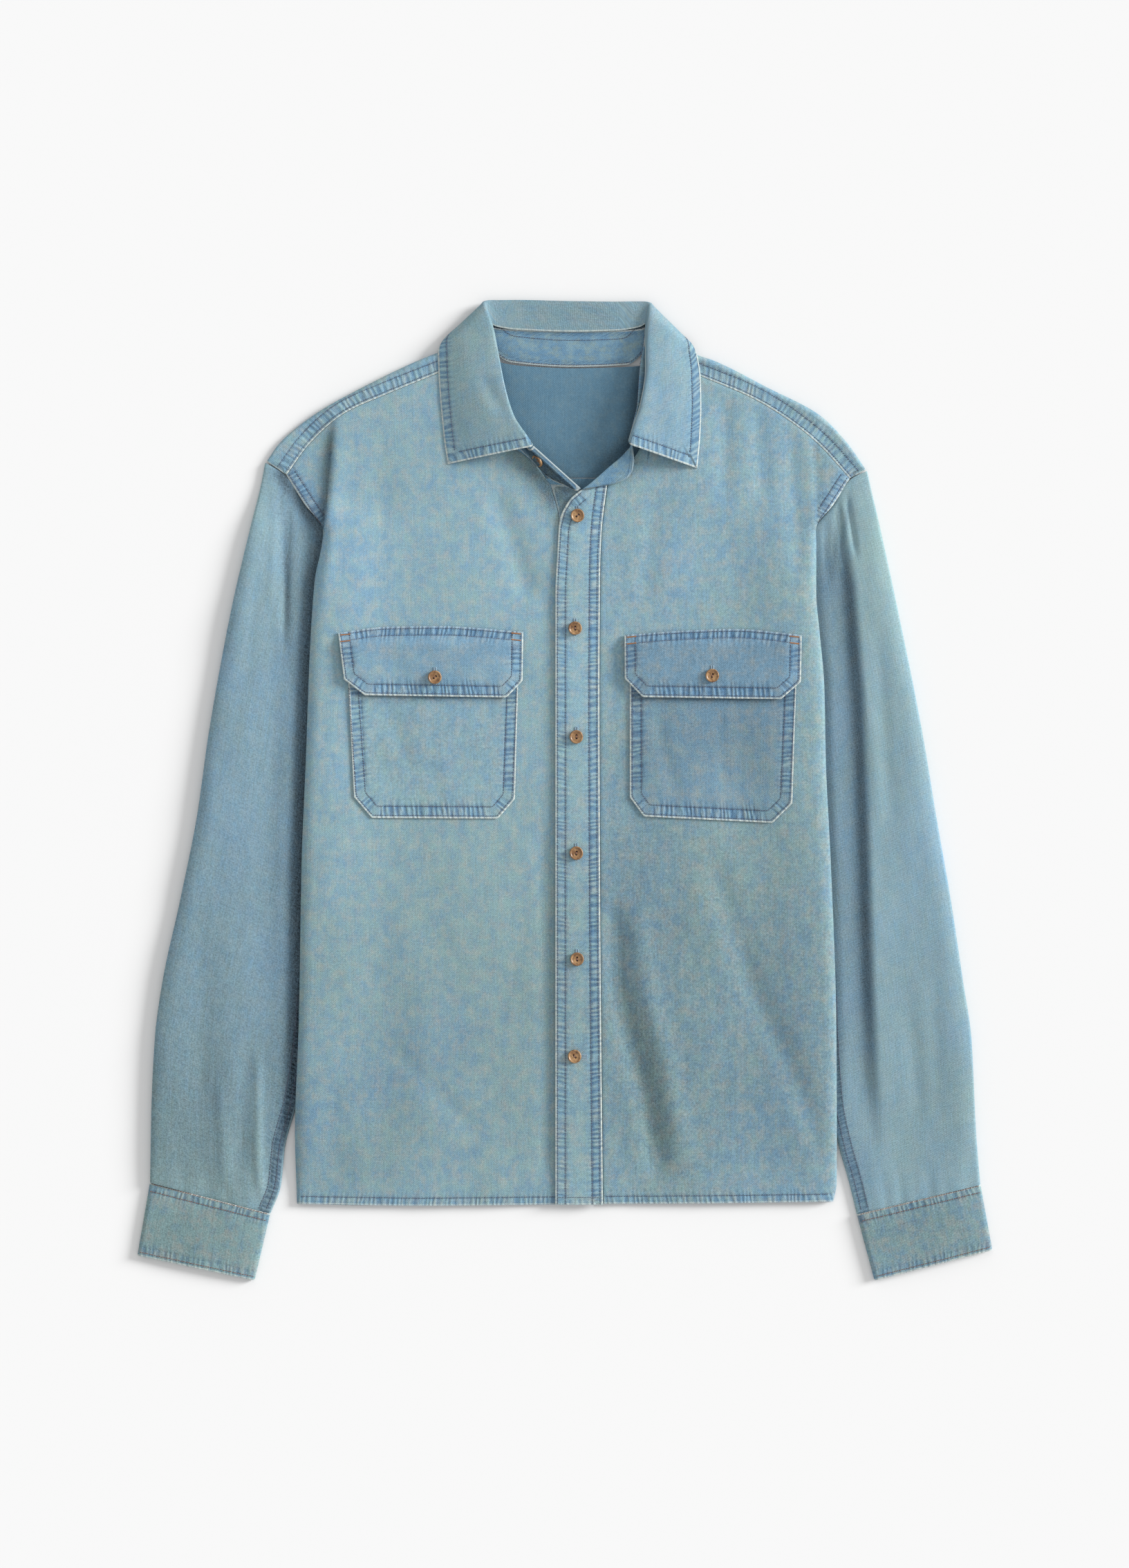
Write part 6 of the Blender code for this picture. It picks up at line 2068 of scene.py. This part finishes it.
@dataclass(frozen=True)
class WashedDenim:
    """Cotton twill with an indigo warp and white weft, stone-washed: matt, pale and mottled.

    Warp slubs run along the cloth as fine streaks. Edges are worn to the white core and the bands beside the
    seams pucker, pale on each ridge and blue in each valley.

    Attributes:
        name: Name of the material.
        blue: Colour of the bluer wash.
        green: Colour of the greener wash.
        sand: Colour of the wash's tinted flecks.
        deep: Indigo left in the valleys beside the seams.
        worn: Colour of a worn edge.
        contrast: How strong the wash and the streaks are, 1 for the right side.
    """

    name: str
    blue: str = "#7497AE"
    green: str = "#86A4A6"
    sand: str = "#A2A6A0"
    deep: str = "#4D79A3"
    worn: str = "#C3CAC4"
    contrast: float = 1.0

    # Size across the warp and along it in millimetres, shift and detail of each noise. Real threads lie about
    # 0.4 mm apart. Slubs, weft and grain are drawn three times as coarse, so that they show.
    patterns = {"blotch": (9, 13, 1, 5), "mottle": (26, 40, 1.3, 3), "cloud": (80, 120, 2.3, 2),
                "slub": (1.3, 34, 1.7, 3), "weft": (30, 1.3, 3.1, 2), "grain": (1.2, 1.2, 4.7, 2),
                "dust": (8, 10, 5.9, 5)}
    # Twill lines lie about 0.8 mm apart on real cloth, and are drawn twice as coarse, so that they show.
    twill_spacing = 1.6
    pucker_spacing = 4.9

    def build(self) -> Material:
        """The material, all from the weave, seam, band and tone attributes in millimetres.

        Returns:
            The material.
        """
        material, tree, shader = new_material(self.name, Roughness=0.9, Specular_IOR_Level=0.25)
        weave, seam, band, tone = (add(tree, "Attribute", attribute_name=name)["Vector"]
                                   for name in ("weave", "seam", "band", "tone"))
        seam, band, tone, split = (add(tree, "SeparateXYZ", {0: read}) for read in (seam, band, tone, weave))
        pattern = {}
        for key, (across, along, shift, detail) in self.patterns.items():
            scale = (1 / across, 1 / along, shift)
            place = add(tree, "VectorMath", {0: weave, 1: scale}, operation="MULTIPLY")[0]
            links = {"Vector": place, "Scale": 1, "Detail": detail, "Roughness": 0.68}
            noise = add(tree, "TexNoise", links)[0]
            pattern[key] = add(tree, "Math", {0: noise, 1: 0.5}, operation="SUBTRACT")[0]
        for key in ("blotch", "dust"):
            pattern[key] = add(tree, "Math", {0: pattern[key], 1: tone[2]}, operation="MULTIPLY")[0]
        slant = add(tree, "Math", {0: split[0], 1: 0.8, 2: split[1]}, operation="MULTIPLY_ADD")[0]
        twill = add(tree, "Math", {0: slant, 1: 2 * math.pi / self.twill_spacing}, operation="MULTIPLY")[0]
        pattern["twill"] = add(tree, "Math", {0: twill}, operation="SINE")[0]

        # The lightness carries the wash and, on some pieces, painted shade.
        blueness, light = tone[1], tone[0]
        for key, strength in (("blotch", 2.6), ("mottle", 0.8), ("cloud", 0.9), ("slub", 0.9)):
            links = {0: pattern[key], 1: strength * self.contrast, 2: blueness}
            blueness = add(tree, "Math", links, operation="MULTIPLY_ADD")[0]
        blueness = add(tree, "Math", {0: blueness, 1: 0.5}, operation="ADD", use_clamp=True)[0]
        for key, strength in (("cloud", 0.2), ("blotch", -0.2), ("slub", 0.34), ("weft", 0.16),
                              ("grain", 0.95), ("twill", 0.03)):
            links = {0: pattern[key], 1: strength * self.contrast, 2: light}
            light = add(tree, "Math", links, operation="MULTIPLY_ADD")[0]

        distance, along, row = seam
        cord, rope, _ = band
        drag = add(tree, "Math", {0: distance, 1: 0.12, 2: along}, operation="MULTIPLY_ADD")[0]
        place = add(tree, "CombineXYZ", {0: drag, 1: distance, 2: split[2]})[0]
        place = add(tree, "VectorMath", {0: place, 1: (1 / 2.4, 1 / 9, 3.7)}, operation="MULTIPLY")[0]
        crease = add(tree, "TexNoise", {"Vector": place, "Scale": 1, "Detail": 1, "Roughness": 0.5})[0]
        crease = add(tree, "MapRange", {0: crease, 1: 0.3, 2: 0.7, 3: -0.65, 4: 0.65})[0]
        drift = add(tree, "TexNoise", {"Vector": place, "Scale": 0.12, "Detail": 1})[0]
        phase = add(tree, "Math", {0: drift, 1: 26}, operation="MULTIPLY")[0]
        turns = 2 * math.pi / self.pucker_spacing
        phase = add(tree, "Math", {0: drag, 1: turns, 2: phase}, operation="MULTIPLY_ADD")[0]
        wave = add(tree, "Math", {0: phase}, operation="SINE")[0]
        pucker = add(tree, "Math", {0: wave, 1: 0.75, 2: crease}, operation="MULTIPLY_ADD")[0]
        past_row = add(tree, "Math", {0: distance, 1: row}, operation="SUBTRACT")[0]
        smooth = "SMOOTHSTEP"
        inside, beyond, edge = (
            add(tree, "MapRange", {0: value, 1: start, 2: end, 3: full, 4: 0}, interpolation_type=smooth)[0]
            for value, start, end, full in ((past_row, -1, 2.2, 1), (past_row, 0, 9, 0.4),
                                            (distance, 0.9, 1.7, 1)))
        inside = add(tree, "Math", {0: inside, 1: beyond}, operation="MAXIMUM")[0]
        roping = add(tree, "Math", {0: inside, 1: rope}, operation="MULTIPLY")[0]
        ridge = add(tree, "Math", {0: roping, 1: pucker}, operation="MULTIPLY")[0]
        # The groove is the sunken line of the last stitch row: it dips the bump, and in the colour it is
        # partly painted shade, lowering the light, and partly the indigo left there.
        row_groove_and_shade = add(tree, "Math", {0: past_row, 1: past_row}, operation="MULTIPLY")[0]
        row_groove_and_shade = add(tree, "Math", {0: row_groove_and_shade, 1: -0.7}, operation="MULTIPLY")[0]
        row_groove_and_shade = add(tree, "Math", {0: row_groove_and_shade}, operation="EXPONENT")[0]
        row_groove_and_shade = add(tree, "Math", {0: row_groove_and_shade, 1: rope}, operation="MULTIPLY")[0]
        light = add(tree, "Math", {0: ridge, 1: 0.16, 2: light}, operation="MULTIPLY_ADD")[0]
        light = add(tree, "Math", {0: row_groove_and_shade, 1: -0.12, 2: light}, operation="MULTIPLY_ADD")[0]
        light = add(tree, "Math", {0: light, 1: 1}, operation="ADD")[0]

        dust = add(tree, "MapRange", {0: pattern["dust"], 1: -0.05, 2: 0.2, 3: 0, 4: 0.6})[0]
        valley = add(tree, "MapRange", {0: pucker, 1: 0.4, 2: -0.7, 3: 0.05, 4: 0.72})[0]
        middle = add(tree, "Math", {0: distance, 1: row}, operation="DIVIDE")[0]
        middle = add(tree, "Math", {0: middle, 1: 0.58}, operation="SUBTRACT")[0]
        middle = add(tree, "Math", {0: middle}, operation="ABSOLUTE")[0]
        middle = add(tree, "MapRange", {0: middle, 1: 0.05, 2: 0.4, 3: 0.85, 4: 1})[0]
        valley = add(tree, "Math", {0: valley, 1: middle}, operation="MULTIPLY")[0]
        valley = add(tree, "Math", {0: row_groove_and_shade, 1: 0.25, 2: valley}, operation="MULTIPLY_ADD")[0]
        valley = add(tree, "Math", {0: valley, 1: roping}, operation="MULTIPLY", use_clamp=True)[0]
        wear = add(tree, "CombineXYZ", {0: along, 1: split[2]})[0]
        wear = add(tree, "TexNoise", {"Vector": wear, "Scale": 0.6, "Detail": 3})[0]
        wear = add(tree, "MapRange", {0: wear, 1: 0.3, 2: 0.62, 3: 0.35, 4: 1})[0]
        edge = add(tree, "Math", {0: edge, 1: cord}, operation="MULTIPLY")[0]
        worn = add(tree, "Math", {0: edge, 1: wear}, operation="MULTIPLY", use_clamp=True)[0]
        links = {0: blueness, 6: linear(self.green), 7: linear(self.blue)}
        colour = add(tree, "Mix", links, data_type="RGBA")[2]
        for share, over in ((dust, self.sand), (valley, self.deep)):
            colour = add(tree, "Mix", {0: share, 6: colour, 7: linear(over)}, data_type="RGBA")[2]
        colour = add(tree, "VectorMath", {0: colour, "Scale": light}, operation="SCALE")[0]
        colour = add(tree, "Mix", {0: worn, 6: colour, 7: linear(self.worn)}, data_type="RGBA")[2]

        height = add(tree, "Math", {0: ridge, 1: 0.3}, operation="MULTIPLY")[0]
        for relief, strength in ((pattern["grain"], 0.07), (pattern["slub"], 0.12), (pattern["twill"], 0.03),
                                 (row_groove_and_shade, -0.3), (edge, 0.35)):
            height = add(tree, "Math", {0: relief, 1: strength, 2: height}, operation="MULTIPLY_ADD")[0]
        bump = add(tree, "Bump", {"Height": height, "Distance": MM, "Strength": 1})[0]
        tree.links.new(colour, shader.inputs["Base Color"])
        tree.links.new(bump, shader.inputs["Normal"])
        return material


@dataclass(frozen=True)
class CottonThread:
    """Twisted cotton-wrapped sewing thread, matt, with fine cross shading from its twist.

    Attributes:
        name: Name of the material.
        colour: Colour of the thread.
        shade: Colour in its twist and where it has faded.
        fleck: Size of its shading, in millimetres.
    """

    name: str
    colour: str
    shade: str
    fleck: float = 1.4

    def build(self) -> Material:
        """The material: noise between the thread's colour and its shade.

        Returns:
            The material.
        """
        material, tree, shader = new_material(self.name, Roughness=0.85)
        place = add(tree, "TexCoord")["Object"]
        noise = add(tree, "TexNoise", {"Vector": place, "Scale": 1 / (self.fleck * MM), "Detail": 2})[0]
        share = add(tree, "MapRange", {0: noise, 1: 0.35, 2: 0.65})[0]
        links = {0: share, 6: linear(self.colour), 7: linear(self.shade)}
        tree.links.new(add(tree, "Mix", links, data_type="RGBA")[2], shader.inputs["Base Color"])
        return material


@dataclass(frozen=True)
class PolishedHorn:
    """Turned and polished horn: brown with paler and darker drifts and a soft gloss.

    Attributes:
        name: Name of the material.
        pale: Colour of its pale parts.
        brown: Its main colour.
        dark: Colour of its dark flecks, and of the painted shade in the thread holes.
        drift: Size of its drifts, in millimetres.
        fleck: Size of its flecks, in millimetres.
    """

    name: str = "polished_horn"
    pale: str = "#A58158"
    brown: str = "#704C2C"
    dark: str = "#21150D"
    drift: float = 5.0
    fleck: float = 1.6

    def build(self) -> Material:
        """The material: drifts, flecks, and painted shade in the thread holes, where the face is deep.

        Returns:
            The material.
        """
        material, tree, shader = new_material(self.name, Roughness=0.38, IOR=1.54)
        place = add(tree, "TexCoord")["Object"]
        links = {"Vector": place, "Scale": 1 / (self.drift * MM), "Detail": 3, "Distortion": 1.2}
        drift = add(tree, "MapRange", {0: add(tree, "TexNoise", links)[0], 1: 0.35, 2: 0.65})[0]
        links = {"Vector": place, "Scale": 1 / (self.fleck * MM), "Detail": 2}
        fleck = add(tree, "MapRange", {0: add(tree, "TexNoise", links)[0], 1: 0.58, 2: 0.72, 3: 0, 4: 0.6})[0]
        disc = add(tree, "SeparateXYZ", {0: add(tree, "Attribute", attribute_name="disc")["Vector"]})
        radius = add(tree, "CombineXYZ", {0: disc[0], 1: disc[1]})[0]
        radius = add(tree, "VectorMath", {0: radius}, operation="LENGTH")[1]
        on_face = add(tree, "Math", {0: radius, 1: 3.8}, operation="LESS_THAN")[0]
        deep = add(tree, "MapRange", {0: disc[2], 1: 1.45, 2: 1, 3: 0, 4: 0.95})[0]
        hole_shade = add(tree, "Math", {0: deep, 1: on_face}, operation="MULTIPLY")[0]
        colour = linear(self.brown)
        for share, over in ((drift, self.pale), (fleck, self.dark), (hole_shade, self.dark)):
            colour = add(tree, "Mix", {0: share, 6: colour, 7: linear(over)}, data_type="RGBA")[2]
        tree.links.new(colour, shader.inputs["Base Color"])
        return material


def make_dress() -> Dress:
    """All the finishes of the shirt, the denim's in the order of the fields of WashedDenim."""
    outside, inside, stand = (WashedDenim(*row).build() for row in (
        ("washed_denim",),
        ("denim_wrong_side", "#55798F", "#5E8094", "#6A8490", "#40647F", "#A4AFAF", 0.6),
        ("denim_collar_stand", "#668BA6", "#7C9CAA", "#8A9C96", "#4C7398", "#C2C8C2", 0.9)))
    threads = (CottonThread(*row).build() for row in (
        ("navy_cotton_thread", "#47495C", "#5F6576"), ("rust_cotton_thread", "#84584A", "#6E5A58"),
        ("orange_cotton_thread", "#A9744C", "#8F6B52"), ("pale_blue_cotton_thread", "#93A9B6", "#7690A3")))
    return Dress((outside, inside), (stand, stand), (outside, outside), *threads, PolishedHorn().build())


# ---------------------------------------------------------------- studio

@dataclass(frozen=True)
class Studio:
    """Pale floor, one broad low light from the wearer's left, white surroundings, and a camera overhead.

    Attributes:
        floor_size: Side of the floor, in metres.
        floor_below: How far it lies under the shirt, so that the two don't touch.
        floor_colour: Colour of the floor.
        surround: Strength of the white surroundings.
        light_strength: Strength of the broad light.
        light_height: Its elevation in degrees.
        light_turn: Its direction in degrees from x towards y.
        light_spread: Its angular size in degrees.
        view_centre: Where the camera looks, (x, y) in millimetres.
        view_height: Height of the view on the cloth, in millimetres.
        view_plane: Height of the cloth that the view is measured at.
        lens: Focal length in millimetres.
    """

    floor_size: float = 8.0
    floor_below: float = 0.15
    floor_colour: str = "#E7E7E7"
    surround: float = 0.7225
    light_strength: float = 4.45
    light_height: float = 19.0
    light_turn: float = 20.0
    light_spread: float = 20.0
    view_centre: tuple[float, float] = (-0.3, 5.2)
    view_height: float = 1315.4
    view_plane: float = 4.0
    lens: float = 100.0

    def floor(self) -> None:
        """Lays the floor just under the shirt."""
        half = self.floor_size / 2 / MM
        corners = [(x * half, y * half, -self.floor_below) for x, y in ((-1, -1), (1, -1), (1, 1), (-1, 1))]
        floor = new_mesh("floor", corners, [[0, 1, 2, 3]])
        board, _, _ = new_material("matt_white_board", Base_Color=linear(self.floor_colour), Roughness=1,
                                   Specular_IOR_Level=0)
        floor.data.materials.append(board)

    def hang(self, name: str, data: bpy.types.ID) -> bpy.types.Object:
        """Links a lamp or a camera to the scene and gives its object."""
        holder = bpy.data.objects.new(name, data)
        bpy.context.scene.collection.objects.link(holder)
        return holder

    def lights(self) -> None:
        """Sets the surroundings and the broad light."""
        world = bpy.data.worlds.new("white_surroundings")
        world.use_nodes = True
        background = world.node_tree.nodes["Background"]
        background.inputs["Color"].default_value = linear("#FFFFFF")
        background.inputs["Strength"].default_value = self.surround
        bpy.context.scene.world = world
        lamp = bpy.data.lights.new("broad_light", "SUN")
        lamp.energy, lamp.angle = self.light_strength, math.radians(self.light_spread)
        tilt, turn = math.radians(90 - self.light_height), math.radians(self.light_turn)
        self.hang("broad_light", lamp).rotation_euler = (0, tilt, turn)

    def camera(self) -> None:
        """Hangs the camera straight above, with the collar up in its view."""
        data = bpy.data.cameras.new("overhead_camera")
        data.lens, data.sensor_width, data.clip_end = self.lens, 36, 20
        camera = self.hang("overhead_camera", data)
        distance = self.view_height * self.lens / data.sensor_width
        camera.location = np.array((*self.view_centre, distance + self.view_plane)) * MM
        bpy.context.scene.camera = camera

    def build(self) -> None:
        """Sets up floor, lights and camera."""
        self.floor()
        self.lights()
        self.camera()
        bpy.context.scene.view_settings.view_transform = "Standard"


def main() -> None:
    """Builds the finishes and every part of the shirt, sews it, and sets up the studio."""
    logging.basicConfig(level=logging.INFO, format="%(name)s: %(message)s")
    Studio().build()
    dress, pockets, buttons = make_dress(), Pockets(), Buttons()
    dark = BodyPanels().build(dress) + Yoke().build(dress) + Closure().build(dress)
    pocket_rows, tacks = pockets.build(dress)
    rust, seam_rows = Sleeves().build(dress)
    dark += pocket_rows + seam_rows + Collar().build(dress)
    Sewing("dark_topstitching", 1).build(dark, dress.thread_dark)
    Sewing("rust_topstitching", 2).build(rust, dress.thread_rust)
    Sewing("flap_bartacks", 3).build(tacks, dress.thread_orange)
    seats = buttons.seats(pockets)
    for seat in seats:
        buttons.build_one(seat, dress.horn)
    Sewing("buttonhole_stitches", 4).build(buttons.buttonholes(pockets), dress.thread_pale)
    Sewing("button_threads", 5).build(buttons.threads(seats), dress.thread_rust)


if __name__ == "__main__":
    main()
